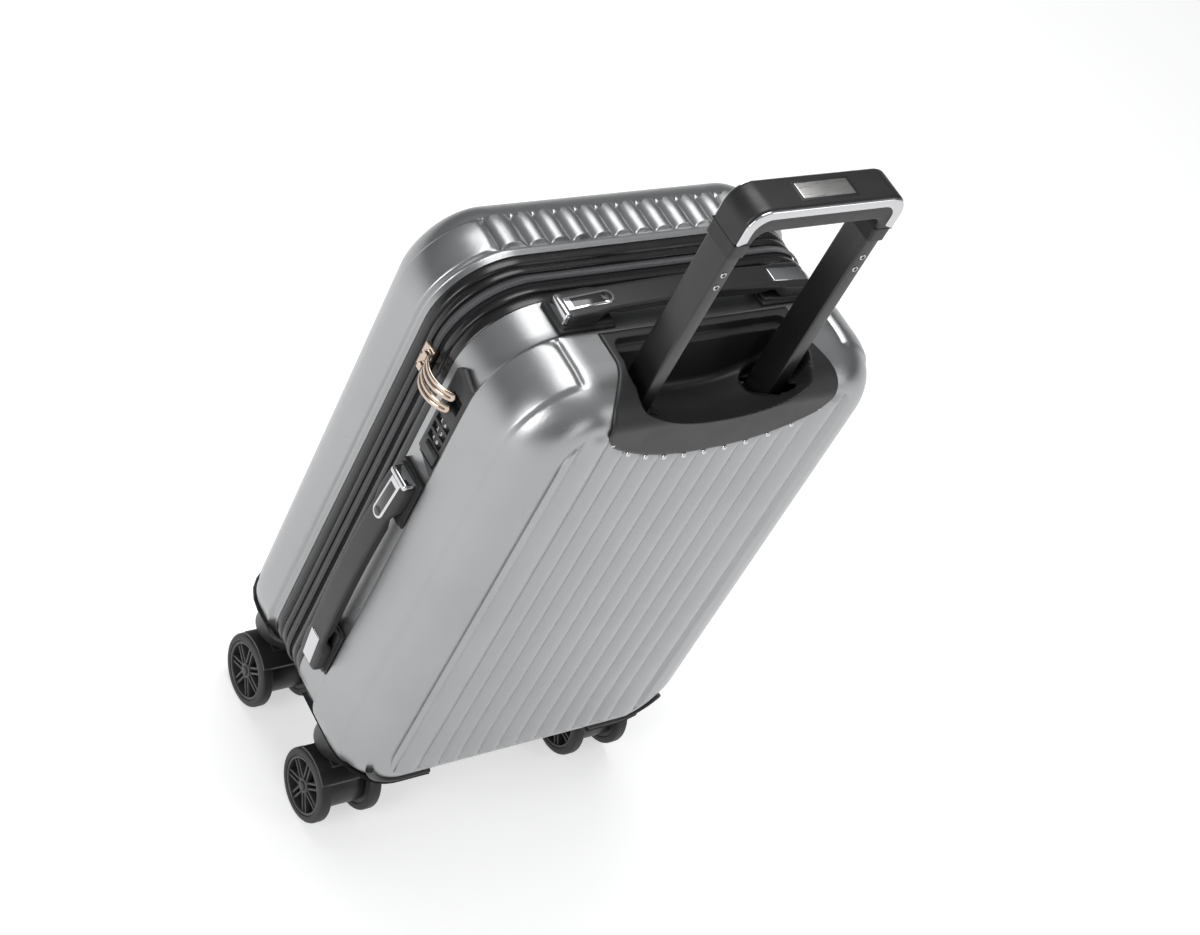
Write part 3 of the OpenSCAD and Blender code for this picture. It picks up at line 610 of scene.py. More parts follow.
def makeShell(s, side, bandY, depth, stepAt, roundAt, topRound):
    edges = ribEdges(s)
    steps = np.array(s["ribSteps"])
    flatX = np.concatenate([edges[k] + steps * (edges[k + 1] - edges[k]) for k in range(s["ribs"])])
    flatX = np.unique(np.round(flatX, 5))
    arcT = np.linspace(0, 1, s["cornerSteps"] + 1)[1:]
    rows = s["faceRows"]
    middle = (s["top"] + s["bottom"]) / 2
    # each ring is its inset, its distance from the band and its angle on the rounded edge
    rings = [(3.0, (stepAt - 2.2) * t, 0.0) for t in (0, 0.25, 0.5, 0.75, 1)]
    rings += [(2.6, stepAt - 1.2, 0.0), (1.2, stepAt - 0.2, 0.0), (0.35, stepAt + 0.6, 0.0),
              (0.0, stepAt + 1.8, 0.0)]
    for t in np.linspace(stepAt + 3, roundAt - 1, max(3, int((roundAt - stepAt) / 2.5))):
        rings.append((0.0, t, 0.0))
    for a in np.linspace(0, 90, 31):
        r = math.radians(a)
        rings.append((s["edge"] * (1 - math.cos(r)), roundAt + (depth - roundAt) * math.sin(r), r))
    verts = []

    def standOut(x, z, run):
        # how far the surface stands out: ribs, corner panels and their ends
        h = ribHeight(s, x)
        inRibs = smoothstep((s["ribHalf"] + 0.5 - np.abs(x)) / 1.0)
        start = stepAt + (3.0 if side < 0 else 1.0)
        gain = smoothstep((run - start) / 1.6)
        line = gain
        if side < 0:
            # none beside or under the handle cup
            gain = gain * (1 - smoothstep((z + 11 - cupEdge(np.clip(x, -100, 100), 0)) / 9))
        outer = np.abs(x) > 79
        nearBottom = np.where(outer & (z < middle), smoothstep((run - (62 if side < 0 else 26)) / 4), 1.0)
        share = s["faceShare"] + (1 - s["faceShare"]) * smoothstep((np.abs(z - middle) - 150) / 55)
        h = h * gain * inRibs * nearBottom * share
        # corner panels stand proud of the wide groove beside the ribs
        past = np.abs(x) - s["ribHalf"] - 1.0
        along = run - stepAt
        panel = smoothstep(softMin(past, along - 1.0, 14) / 2.4 + 0.2)
        return h + panel * 1.3 - np.exp(-((np.abs(x) - s["ribHalf"]) / 2.4) ** 2) * line * 1.7

    run = 0.0
    last = None
    for inset, y, r in rings:
        if last is not None:
            run += math.hypot(inset - last[0], y - last[1])
        last = (inset, y)
        xb, zb, nx, nz = outlinePoints(s, inset, flatX, arcT)
        x, z, *_ = outlinePoints(s, inset * topRound if r > 0 else inset, flatX, arcT)
        tall = np.linspace(z[-1], -zb[-1], rows + 1)[1:-1]
        wide = np.linspace(x[-1], xb[-1], rows + 1)[1:-1]
        fullX = np.concatenate([x, wide, xb[::-1], -wide[::-1]])
        fullZ = np.concatenate([z, tall, -zb[::-1], tall[::-1]])
        fullNx = np.concatenate([nx, np.ones(rows - 1), nx[::-1], -np.ones(rows - 1)])
        fullNz = np.concatenate([nz, np.zeros(rows - 1), -nz[::-1], np.zeros(rows - 1)])
        h = standOut(fullX, fullZ + middle, run)
        if inset >= 2.9:
            h = h * 0
        out = h * math.cos(r)
        verts.append(np.stack([fullX + fullNx * out, side * y + bandY + side * h * math.sin(r) + 0 * fullX,
                               fullZ + middle + fullNz * out], 1))
        count = len(fullX)
    # the broad face inside the last ring, column by column
    x, z, *_ = outlinePoints(s, s["edge"] * topRound, flatX, arcT)
    xb, zb, *_ = outlinePoints(s, s["edge"], flatX, arcT)
    cols = len(x)
    down = np.linspace(0, 1, rows + 1)[None, 1:-1]
    gx = (x[1:-1, None] * (1 - down) + xb[1:-1, None] * down).ravel()
    gz = (z[1:-1, None] * (1 - down) - zb[1:-1, None] * down).ravel()
    gh = standOut(gx, gz + middle, run + 40)
    verts.append(np.stack([gx, bandY + side * (depth + gh), gz + middle], 1))
    faceStart = len(rings) * count
    verts = np.concatenate(verts)
    faces = []
    for j in range(len(rings) - 1):
        a, b = j * count, (j + 1) * count
        for i in range(count):
            n = (i + 1) % count
            faces.append((a + i, a + n, b + n, b + i))
    base = (len(rings) - 1) * count
    grid = np.zeros((cols, rows + 1), int)
    grid[:, 0] = base + np.arange(cols)
    grid[:, rows] = base + cols + rows - 1 + (cols - 1 - np.arange(cols))
    grid[cols - 1, 1:rows] = base + cols + np.arange(rows - 1)
    grid[0, 1:rows] = base + 2 * cols + rows - 1 + np.arange(rows - 1)[::-1]
    grid[1:-1, 1:rows] = faceStart + np.arange((cols - 2) * (rows - 1)).reshape(cols - 2, rows - 1)
    for c in range(cols - 1):
        for r in range(rows):
            faces.append((grid[c, r], grid[c + 1, r], grid[c + 1, r + 1], grid[c, r + 1]))
    verts = verts * mm + np.array([x0, 0, 0])
    return verts, faces


def shellPiece(name, s, half, opening=None):
    side = half["side"]
    verts, faces = makeShell(s, **half)
    if opening is not None:
        gone = opening(verts[:, 0] / mm - middleX, verts[:, 1] / mm, verts[:, 2] / mm)
        faces = [f for f in faces if not all(gone[i] for i in f)]
    ob = meshObject(name, verts, faces)
    useOnly(ob)
    bpy.ops.object.mode_set(mode="EDIT")
    bpy.ops.mesh.select_all(action="SELECT")
    bpy.ops.mesh.remove_doubles(threshold=0.00002)
    bpy.ops.mesh.delete_loose()
    bpy.ops.mesh.select_all(action="SELECT")
    bpy.ops.mesh.normals_make_consistent(inside=False)
    bpy.ops.object.mode_set(mode="OBJECT")
    me = ob.data
    far = max(me.polygons, key=lambda p: p.center.y * side)
    if far.normal.y * side < 0:
        me.flip_normals()
    wall = ob.modifiers.new("wall", "SOLIDIFY")
    wall.thickness = s["wall"] * mm
    wall.offset = -1
    applyAll(ob)
    return ob


def backOpening(x, y, z):
    cup = (np.abs(x) < cupWide(y) - 5) & (z > cupEdge(x, -2)) & (y < -41)
    lock = (x < -150) & (y > -34) & (y < -11) & (z > 411) & (z < 496)
    return cup | lock


backShell = shellPiece("backShell", shellSet, halves["back"], backOpening)
dress(backShell, "base", "shell", ("back_shell",), 40)
frontShell = shellPiece("frontShell", shellSet, halves["front"])
dress(frontShell, "lid", "shell", ("front_shell",), 40)
print("stage: shells", len(backShell.data.polygons), len(frontShell.data.polygons))

grooveEnd = {"radius": 2.2, "flat": 0.95, "tall": 1.25, "below": 3.4, "last": 95, "pitch": 19.0,
             "depth": -104.9, "depthAtEnds": -104.1}
# rounded ends of the grooves under the cup: real relief, but given the brighter chrome finish instead of the
# shell's silver as a painted highlight
studs = []
for gx in np.arange(-grooveEnd["last"], grooveEnd["last"] + 1, grooveEnd["pitch"]):
    clearSelection()
    gz = float(cupEdge(gx, 3.5)) - grooveEnd["below"]
    dy = grooveEnd["depth"] if abs(gx) < 80 else grooveEnd["depthAtEnds"]
    bpy.ops.mesh.primitive_uv_sphere_add(segments=20, ring_count=12, radius=grooveEnd["radius"] * mm,
                                         location=(x0 + gx * mm, dy * mm, gz * mm),
                                         scale=(1, grooveEnd["flat"], grooveEnd["tall"]))
    studs.append(bpy.context.object)
    settle(studs[-1])
dress(joined("grooveEndGlints", studs), "base", "chrome")


# zip band

bandSet = {"cornerSteps": 22, "coilPitch": 1.25}


def outlinePath(inset, spacing=None):
    # points round the case at this inset, with the outward direction at each
    s = shellSet
    w, h, r = s["halfWidth"] - s["corner"], (s["top"] - s["bottom"]) / 2 - s["corner"], s["corner"] - inset
    mid = (s["top"] + s["bottom"]) / 2
    pts, outs = [], []
    for q, (cx, cz) in enumerate(((w, h), (-w, h), (-w, -h), (w, -h))):
        for k in range(bandSet["cornerSteps"] + 1):
            a = math.radians(90 * q + 90 * k / bandSet["cornerSteps"])
            pts.append((cx + r * math.cos(a), cz + r * math.sin(a) + mid))
            outs.append((math.cos(a), math.sin(a)))
    pts, outs = np.array(pts), np.array(outs)
    if spacing:
        nxt = np.roll(pts, -1, 0)
        seg = np.hypot(*(nxt - pts).T)
        cum = np.concatenate([[0], np.cumsum(seg)])
        n = int(cum[-1] / spacing)
        at = np.linspace(0, cum[-1], n, endpoint=False)
        loopP, loopO = np.vstack([pts, pts[:1]]), np.vstack([outs, outs[:1]])
        pts = np.stack([np.interp(at, cum, loopP[:, i]) for i in (0, 1)], 1)
        outs = np.stack([np.interp(at, cum, loopO[:, i]) for i in (0, 1)], 1)
        outs /= np.linalg.norm(outs, axis=1)[:, None]
    return pts, outs


def ringAround(name, section, body, finish, stands):
    # section is a list of (y, out) in mm, carried round the case
    pts, outs = outlinePath(0)
    path = [(x * mm + x0, 0, z * mm) for x, z in pts]
    normals = [((o[0], 0, o[1]), (0, 1, 0)) for o in outs]
    ob = sweep(name, path, normals, [(o * mm, y * mm) for y, o in section])
    return dress(ob, body, finish, stands, 50)


backContour = [
    (0.1, -3.3), (0.7, -2.8), (2.2, -2.5), (5.4, -2.5), (7.4, -2.8), (8.3, -3.4), (8.7, -4.9), (9.5, -5.3),
    (10.2, -4.9), (10.6, -3.5), (11.4, -3.0), (12.8, -2.9), (15.2, -3.1), (16.4, -3.7), (16.9, -4.6),
    (16.9, -6.6), (16.9, -9.0), (0.1, -9.0),
]
frontContour = [
    (28.8, -9.0), (28.8, -6.6), (28.8, -4.6), (29.3, -3.6), (30.4, -3.0), (33.0, -2.9), (34.4, -3.2),
    (34.9, -3.7), (35.3, -4.9), (36.0, -5.3), (36.7, -4.8), (37.2, -3.4), (38.2, -2.8), (40.4, -2.5),
    (43.0, -2.5), (44.3, -2.8), (44.9, -3.3), (44.9, -9.0),
]


def tapeContour(y0, y1):
    # woven tape beside the teeth, a little below them
    return [(y0, -6.4), (y1, -6.4), (y1, -4.7), ((y0 + y1) / 2, -4.35), (y0, -4.7)]


ringAround("tapeBack", tapeContour(17.1, 22.9), "base", "tape", ("back_zip",))
ringAround("tapeFront", tapeContour(23.1, 28.6), "lid", "tape", ("front_zip",))
ringAround("backBand", backContour, "base", "band", ("back_rim",))
ringAround("frontBand", frontContour, "lid", "band", ("front_rim",))


def zipTeeth(name, yFrom, yTo, phase, body):
    # one small bent tooth, repeated round the case
    pts, outs = outlinePath(3.2, bandSet["coilPitch"])
    n = len(pts)
    along = np.stack([-outs[:, 1], outs[:, 0]], 1)
    pts = pts + along * phase * bandSet["coilPitch"]
    ring = [(math.cos(a) * 0.46, math.sin(a) * 0.42) for a in np.linspace(0, 2 * math.pi, 7)[:-1]]
    stations = [(0.0, 0.15, 0.0), (0.35, 0.85, 0.1), (0.75, 0.95, 0.22), (1.0, 0.35, 0.3)]
    verts, faces = [], []
    for i in range(n):
        start = len(verts)
        for t, lift, lean in stations:
            y = yFrom + (yTo - yFrom) * t
            for a, b in ring:
                p = pts[i] + along[i] * (a + lean) + outs[i] * (b + lift)
                verts.append((p[0] * mm + x0, y * mm, p[1] * mm))
        for k in range(len(stations) - 1):
            here, there = start + k * 6, start + k * 6 + 6
            for q in range(6):
                r = (q + 1) % 6
                faces.append((here + q, here + r, there + r, there + q))
        faces.append(tuple(start + q for q in range(5, -1, -1)))
        faces.append(tuple(start + 18 + q for q in range(6)))
    ob = meshObject(name, verts, faces)
    outward(ob, 0.000001)
    return dress(ob, body, "coil", (), 60)


zipTeeth("zipTeethBack", 19.9, 24.2, 0.0, "base")
zipTeeth("zipTeethFront", 26.1, 21.8, 0.5, "lid")
print("stage: band and zip")


# pull handle cup

cupSet = {
    "acrossSteps": 300, "downSteps": 170, "step": 0.6, "reach": 74.0, "floor": 499.5, "lipRise": 17.0,
    "sideRise": 15.0, "wellRadius": 18.6, "slotHalf": (9.4, 15.6), "wellFloor": 499.0, "wall": 1.3,
}


def browPoint(s):
    # outer surface of the cup's collar: y and z at arc length s from the top edge
    a = np.radians(np.linspace(0, 90, 91))
    y = -(60 + 46.1 * np.sin(a))
    z = 548 - 0.7 * (36 * (1 - np.cos(a)) - 2.2 * np.cos(a))
    y = np.concatenate([[-37.5, -50], y, [-106.1]])
    z = np.concatenate([[549.9, 549.75], z, [470]])
    arc = np.concatenate([[0], np.cumsum(np.hypot(np.diff(y), np.diff(z)))])
    return np.interp(s, arc, y), np.interp(s, arc, z), arc, y, z


def insideCup(x, y, z):
    c = cupSet
    ax = np.abs(x)
    floor = c["floor"] + c["lipRise"] * np.clip((-y - 58) / 45, 0, 1.4) ** 1.6
    floor = floor + c["sideRise"] * (ax / 68) ** 2.4
    wallY = -49.0 - np.clip(541 - z, 0, 60) * 0.13 + 5.2 * smoothstep((z - 540.2) / 1.8)
    sides = 79.5 - ax - 0.05 * np.clip(541 - z, 0, 60)
    dish = softMin(softMin(z - floor, wallY - y, 6.0), sides, 9.0)
    gap = c["wellRadius"] - np.hypot(ax - 63, y + 74)
    well = softMin(gap, z - c["wellFloor"], 3.0)
    return softMax(dish, well, 2.2)


def makeCup(c):
    u = np.linspace(-1, 1, c["acrossSteps"] + 1)
    u = u * (0.9 + 0.1 * np.abs(u) ** 2)
    v = np.linspace(0, 1, c["downSteps"] + 1)
    nominal = u * 100
    _, _, arc, _, bz = browPoint(0)
    low = np.interp(-cupEdge(nominal, 3.5), -bz, arc)
    s = v[None, :] * low[:, None]
    y, z, *_ = browPoint(s)
    wide = cupWide(y)
    x = np.repeat(nominal[:, None], len(v), 1) * wide / 100
    edge = np.minimum((1 - np.abs(nominal / 100))[:, None] * wide, np.minimum(s, low[:, None] - s))
    roundOff = 2.0 * (1 - np.sqrt(np.clip(1 - (1 - np.clip(edge / 2.0, 0, 1)) ** 2, 0, 1)))
    d = np.array([0.7071, -0.7071])
    y, z = y + d[0] * roundOff, z + d[1] * roundOff
    depth = np.zeros_like(y)
    live = insideCup(x, y, z) > 0
    step = c["step"]
    for _ in range(int(c["reach"] / step)):
        depth = np.where(live, depth + step, depth)
        live &= insideCup(x, y + d[0] * depth, z + d[1] * depth) > 0
    f1 = insideCup(x, y + d[0] * depth, z + d[1] * depth)
    back = np.maximum(depth - step, 0)
    f0 = insideCup(x, y + d[0] * back, z + d[1] * back)
    t = np.clip(f0 / np.where(np.abs(f0 - f1) < 1e-6, 1, f0 - f1), 0, 1)
    depth = np.where(depth > 0, back + t * (depth - back), 0)
    y, z = y + d[0] * depth, z + d[1] * depth
    cols, rows = x.shape
    verts = np.stack([x * mm + x0, y * mm, z * mm], -1).reshape(-1, 3)
    faces = []
    for i in range(cols - 1):
        for j in range(rows - 1):
            a = i * rows + j
            # slots at the bottom of the wells let the tubes through
            px, py, pz = abs((x[i, j] + x[i + 1, j + 1]) / 2), (y[i, j] + y[i + 1, j + 1]) / 2, z[i, j]
            if abs(px - 63) < c["slotHalf"][0] and abs(py + 74) < c["slotHalf"][1] and pz < 503:
                continue
            faces.append((a, a + 1, a + rows + 1, a + rows))
    return meshObject("handleCup", verts, faces)


cup = makeCup(cupSet)
useOnly(cup)
bpy.ops.object.mode_set(mode="EDIT")
bpy.ops.mesh.select_all(action="SELECT")
bpy.ops.mesh.normals_make_consistent(inside=False)
bpy.ops.object.mode_set(mode="OBJECT")
if sum(p.normal.z - p.normal.y for p in cup.data.polygons) < 0:
    cup.data.flip_normals()
cup.modifiers.new("relax", "SMOOTH").iterations = 3
wall = cup.modifiers.new("wall", "SOLIDIFY")
wall.thickness = cupSet["wall"] * mm
wall.offset = -1
applyAll(cup)
dress(cup, "base", "moulding", ("trolley_bezel",), 60)
print("stage: handle cup", len(cup.data.polygons))


# telescopic tubes and pull bar

pullSet = {
    "top": 719.0, "leg": 63.2, "outer": 70.8, "inner": 55.6, "legEnd": 675.0, "outerRadius": 17.0,
    "innerRadius": 9.0, "bar": 22.0, "halfDepth": 14.4, "y": -74.0, "trimWidth": 7.6, "seamHalf": 7.75,
}


def uContour(half, top, radius, low, n=14):
    pts = [(-half, low), (-half, low + (top - radius - low) * 0.5)]
    for k in range(n + 1):
        a = math.pi - math.pi / 2 * k / n
        pts.append((-half + radius + radius * math.cos(a), top - radius + radius * math.sin(a)))
    return pts + [(-x, z) for x, z in pts[::-1]]


def loftBetween(name, outer, inner, ys, edge, seg=4):
    # section between two matching contours, with rounded edges along it
    y0, y1 = ys
    verts = []
    for (ax, az), (bx, bz) in zip(outer, inner):
        o, i = np.array([ax, az]), np.array([bx, bz])
        span = np.linalg.norm(o - i)
        d = (o - i) / span
        corners = ((span - edge, y1 - edge, 0), (edge, y1 - edge, 90), (edge, y0 + edge, 180),
                   (span - edge, y0 + edge, 270))
        for cu, cy, start in corners:
            for k in range(seg + 1):
                a = math.radians(start + 90 * k / seg)
                p = i + d * (cu + edge * math.cos(a))
                verts.append((p[0] * mm + x0, (cy + edge * math.sin(a)) * mm, p[1] * mm))
    ob = meshObject(name, verts, sectionFaces(len(outer), 4 * (seg + 1)))
    outward(ob)
    return ob


def makePullBar(p):
    outer = uContour(p["outer"], p["top"], p["outerRadius"], p["legEnd"])
    inner = uContour(p["inner"], p["top"] - p["bar"], p["innerRadius"], p["legEnd"])
    body = loftBetween("pullBar", outer, inner, (p["y"] - p["halfDepth"], p["y"] + p["halfDepth"]), 2.6)
    dress(body, "trolley", "softGrip", ("trolley_grip",), 40)
    trims = []
    for y0, y1, w in ((-15.6, -13.2, p["trimWidth"]), (13.2, 14.9, 3.4)):
        a = uContour(p["outer"] - 1.1, p["top"] - 1.1, p["outerRadius"] - 1.1, p["legEnd"] + 13)
        b = uContour(p["outer"] - 1.1 - w, p["top"] - 1.1 - w, p["outerRadius"] - 4.6, p["legEnd"] + 16)
        trims.append(loftBetween("trim", a, b, (p["y"] + y0, p["y"] + y1), 1.0))
    dress(joined("pullBarTrims", trims), "trolley", "chrome", ("grip_trims",), 40)
    for sx, side in ((-1, "Left"), (1, "Right")):
        lo = (sx * p["leg"] - p["seamHalf"], p["y"] - 14.6, 686.6)
        hi = (sx * p["leg"] + p["seamHalf"], p["y"] + 14.6, 687.3)
        dress(joined("legSeam" + side, [block("legSeam", lo, hi, 0)]), "trolley", "dark")
    frameRing = block("buttonFrame", (-26, p["y"] - 9.4, 718.0), (26, p["y"] + 9.4, 719.35), 0.0005)
    dress(frameRing, "trolley", "hardBlack")
    button = block("releaseButton", (-23.5, p["y"] - 7.4, 715.5), (23.5, p["y"] + 7.4, 719.6), 0.0009, 4)
    dress(button, "release_button", "brushed", ("grip_button",))


tubeSet = {"across": 63, "half": 6.5, "back": -86.5, "front": -61.5, "low": 276, "high": 688,
           "rivets": (657.0, 645.0)}
makePullBar(pullSet)
for sx, side in ((-1, "Left"), (1, "Right")):
    x = sx * tubeSet["across"]
    lo = (x - tubeSet["half"], tubeSet["back"], tubeSet["low"])
    hi = (x + tubeSet["half"], tubeSet["front"], tubeSet["high"])
    tube = block("innerTube" + side, lo, hi, 0.0017, 4)
    dress(tube, "trolley", "tubeBlack", ("inner_tube_" + side.lower(),))
    softened("middleTube" + side, "middle_tube_" + side.lower(), 0.0009, "middle_stage", "tubeSilver")
# steel rivet rings, each with a deep black disc on its face as the painted shade of the rivet's hole
rivetRings, rivetHoleShades = [], []
for sx in (-1, 1):
    for rz in tubeSet["rivets"]:
        rivetRings.append(pin("ring", (sx * tubeSet["across"], -86.6, rz), 2.5, 1.2, "y", 0.00045))
        rivetHoleShades.append(pin("holeShade", (sx * tubeSet["across"], -86.9, rz), 1.35, 1.0, "y", 0.0002))
dress(joined("tubeRivets", rivetRings), "trolley", "brushed", ("trolley_rivets",))
dress(joined("rivetHoleShades", rivetHoleShades), "trolley", "dark")
print("stage: pull bar")


# carry handles

carrySet = {
    "half": 112.0, "crown": 20.5, "sag": 6.0, "width": 26.0, "thin": 6.0, "thick": 13.5, "steps": 76,
    "ring": 28, "squareness": 0.32, "inlayLong": 34.0, "inlayWide": 12.5, "inlaySlope": 5.6,
}


def crownAt(x):
    return carrySet["crown"] - carrySet["sag"] * (x / 116.0) ** 2


def toTop():
    return Matrix.Translation((x0, -17 * mm, 545.9 * mm)) @ Matrix.Translation((-x0, 0, 0))


def toSide():
    turn = Matrix(((0, 0, -1, 0), (0, 1, 0, 0), (1, 0, 0, 0), (0, 0, 0, 1)))
    turn = turn @ Matrix.Rotation(math.pi, 4, "Z")
    return Matrix.Translation((x0 - 165 * mm, -17 * mm, 276 * mm)) @ turn @ Matrix.Translation((-x0, 0, 0))


def makeStrap(c):
    verts = []
    ring, power = c["ring"], c["squareness"]
    xs = np.linspace(-c["half"], c["half"], c["steps"] + 1)
    for x in xs:
        end = smoothstep((abs(x) - 76) / 12)
        thick = c["thin"] + (c["thick"] - c["thin"]) * end
        tip = smoothstep((c["half"] - abs(x)) / 3.0)
        wide = c["width"] / 2 * (0.86 + 0.14 * tip) - 2.6 * (1 - end)
        top = crownAt(x) - 0.9 * (1 - tip)
        mid, hh = top - thick / 2, thick / 2
        for k in range(ring):
            a = 2 * math.pi * k / ring
            ca, sa = math.cos(a), math.sin(a)
            across = wide * math.copysign(abs(ca) ** power, ca)
            verts.append((x, across, mid + hh * math.copysign(abs(sa) ** power, sa)))
    verts = np.array(verts) * mm + np.array([x0, 0, 0])
    ob = meshObject("strap", verts, sectionFaces(len(xs), ring))
    outward(ob)
    return ob


def makeInlays(c):
    chromeParts, darkParts = [], []
    for sx in (-1, 1):
        a, b = sx * (c["half"] - 2.5), sx * (c["half"] - 2.5 - c["inlayLong"])
        lo, hi = min(a, b), max(a, b)
        top = crownAt((lo + hi) / 2)
        inner = lo if sx > 0 else hi
        half = c["inlayWide"] / 2
        middle = Vector((x0 + (lo + hi) / 2 * mm, 0, top * mm))
        tilt = Matrix.Rotation(sx * math.radians(c["inlaySlope"]), 4, "Y")
        slope = Matrix.Translation(middle) @ tilt @ Matrix.Translation(-middle)
        plate = block("plate", (lo, -half, top - 1.6), (hi, half, top + 0.55), 0.0008, 4)
        pieces = [plate]
        if sx < 0:
            # chrome frame with a rounded nose, a wrapped end and a glossy black window
            pieces.append(pin("nose", (inner, 0, top - 0.52), half, 2.15, "z", 0.0007))
            window = [block("window", (lo + 5, -half + 2, top), (hi, half - 2, top + 0.75), 0.0004, 2),
                      pin("windowNose", (inner, 0, top + 0.37), half - 2, 0.76, "z", 0.0003)]
            for o in window:
                o.data.transform(slope)
            darkParts += window
            chromeParts.append(block("end", (-114.2, -11.2, 4.0), (-108.0, 11.2, 15.8), 0.0024, 4))
        for o in pieces:
            o.data.transform(slope)
        chromeParts += pieces
    return joined("inlays", chromeParts), joined("windows", darkParts)


def makeUnder():
    verts, faces = [], []
    xs = np.linspace(-72, 72, 41)
    for x in xs:
        taper = smoothstep((72 - abs(x)) / 10)
        top = crownAt(x) - 5.6
        low, lower = top - 1.2 - 2.4 * taper, top - 1.8 - 3.2 * taper
        for yy, zz in ((-9.5, top), (9.5, top), (9.5, low), (6.5, lower), (-6.5, lower), (-9.5, low)):
            verts.append((x, yy, zz))
    for j in range(len(xs) - 1):
        for q in range(6):
            r = (q + 1) % 6
            faces.append((j * 6 + q, j * 6 + r, j * 6 + 6 + r, j * 6 + 6 + q))
    faces.append((5, 4, 3, 2, 1, 0))
    faces.append(tuple(len(verts) - 6 + q for q in range(6)))
    ob = meshObject("under", np.array(verts) * mm + np.array([x0, 0, 0]), faces)
    outward(ob)
    return bevelled(ob, 0.0006, 2, 40)


strapMesh, (inlayMesh, windowMesh), underMesh = makeStrap(carrySet), makeInlays(carrySet), makeUnder()
handleParts = (
    (strapMesh, "Strap", "softGrip", "_grip"),
    (inlayMesh, "Inlays", "chrome", "_caps"),
    (underMesh, "Underside", "hardBlack", "_underside"),
    (windowMesh, "Windows", "windowBlack", None),
)
for name, where in (("top", toTop()), ("side", toSide())):
    for made, label, finish, stand in handleParts:
        ob = meshCopy(name + label, made)
        ob.data.transform(where)
        dress(ob, name + "_handle", finish, (name + stand,) if stand else (), 40)
    softened(name + "Brackets", name + "_mounts", 0.0008, "base", "hardBlack")
for part in handleParts:
    bpy.data.objects.remove(part[0])
print("stage: carry handles")


# lock

lockSet = {
    "digitHeight": 4.2, "digitDepth": 0.12, "dialZ": (433.0, 442.0, 451.0), "shown": (0, 3, 6),
    "dialX": -159.9, "dialY": -21.0, "dialRadius": 8.5,
}
softened("lockPlate", "lock_body", 0.0006, "base", "moulding")
softened("lockSlide", "lock_slider", 0.0007, "lock_release", "hardBlack")


def dialDigits(name, z, shift, body):
    made = []
    for k in range(10):
        clearSelection()
        bpy.ops.object.text_add(location=(0, 0, 0))
        t = bpy.context.object
        t.data.body = str((k + shift) % 10)
        t.data.size = lockSet["digitHeight"] * mm
        t.data.extrude = lockSet["digitDepth"] * mm
        t.data.align_x, t.data.align_y = "CENTER", "CENTER"
        t.data.resolution_u = 3
        bpy.ops.object.convert(target="MESH")
        t = bpy.context.object
        a = math.radians(180 + 36 * k + 18)
        out = Vector((math.cos(a), math.sin(a), 0))
        up = Vector((0, 0, 1))
        turn = Matrix((up.cross(out), up, out)).transposed().to_4x4()
        axis = Vector((x0 + lockSet["dialX"] * mm, lockSet["dialY"] * mm, z * mm))
        centre = axis + out * lockSet["dialRadius"] * mm
        t.data.transform(Matrix.Translation(centre) @ turn)
        made.append(t)
    return dress(joined(name, made), body, "digit", (), 0)


for k, label in enumerate(("Bottom", "Middle", "Top")):
    body = "dial_" + label.lower()
    dialDigits("digits" + label, lockSet["dialZ"][k], lockSet["shown"][k], body)
    softened("dial" + label, "dial_%d" % (k + 1), 0.0002, body, "dial")


# zip sliders and pulls

pullLoop = {"radius": 1.3, "half": 3.2, "arcRadius": 25.2, "centre": (17.0, -22.0), "from": 40.0, "to": -47.0}


def makePull(name, z, body, stand):
    # a flat bent loop of round bar, hung on the slider
    c = pullLoop
    path, normals = [], []

    def at(deg):
        # place and outward direction at this angle of the bend
        a = math.radians(180 - deg)
        out = np.array([math.cos(a), math.sin(a)])
        return np.array(c["centre"]) + c["arcRadius"] * out, out

    degs = np.linspace(c["from"], c["to"], 22)
    legs = [(g, c["half"] * (1.0 - 0.35 * k / 21)) for k, g in enumerate(degs)]
    track = list(legs)
    for k in range(1, 8):
        a = math.pi / 2 - math.pi * k / 8
        track.append((degs[-1] - math.cos(a) * 3.4, legs[-1][1] * math.sin(a)))
    track += [(g, -h) for g, h in legs[::-1]]
    for k in range(1, 8):
        a = -math.pi / 2 + math.pi * k / 8
        track.append((degs[0] + math.cos(a) * 4.5, legs[0][1] * math.sin(a)))
    for g, h in track:
        p = at(g)[0]
        path.append((x0 + (-171.5 + p[0]) * mm, (21 + p[1]) * mm, (z + h) * mm))
    path = np.array(path)
    ahead = np.roll(path, -1, 0) - np.roll(path, 1, 0)
    for i, (g, h) in enumerate(track):
        o = at(g)[1]
        out = Vector((o[0], o[1], 0))
        normals.append((tuple(out), tuple(Vector(ahead[i]).normalized().cross(out).normalized())))
    turns = np.linspace(0, 2 * math.pi, 13)[:-1]
    ring = [(math.cos(a) * c["radius"] * mm, math.sin(a) * c["radius"] * 1.7 * mm) for a in turns]
    ob = sweep(name, path, normals, ring)
    return dress(ob, body, "gold", (stand,), 60)


for label, z in (("Upper", 478.0), ("Lower", 466.0)):
    low = label.lower()
    softened("slider" + label, "zip_slider_" + low, 0.0006, "slider_" + low, "gold")
    makePull("pull" + label, z, "pull_" + low, "puller_" + low)
print("stage: lock and zip pulls")


# corner guards and casters

wheelSet = {"radius": 31.5, "width": 11.0, "rim": 25.2, "hub": 6.6, "spokes": 7, "gap": 4.6, "spokeWide": 1.9}


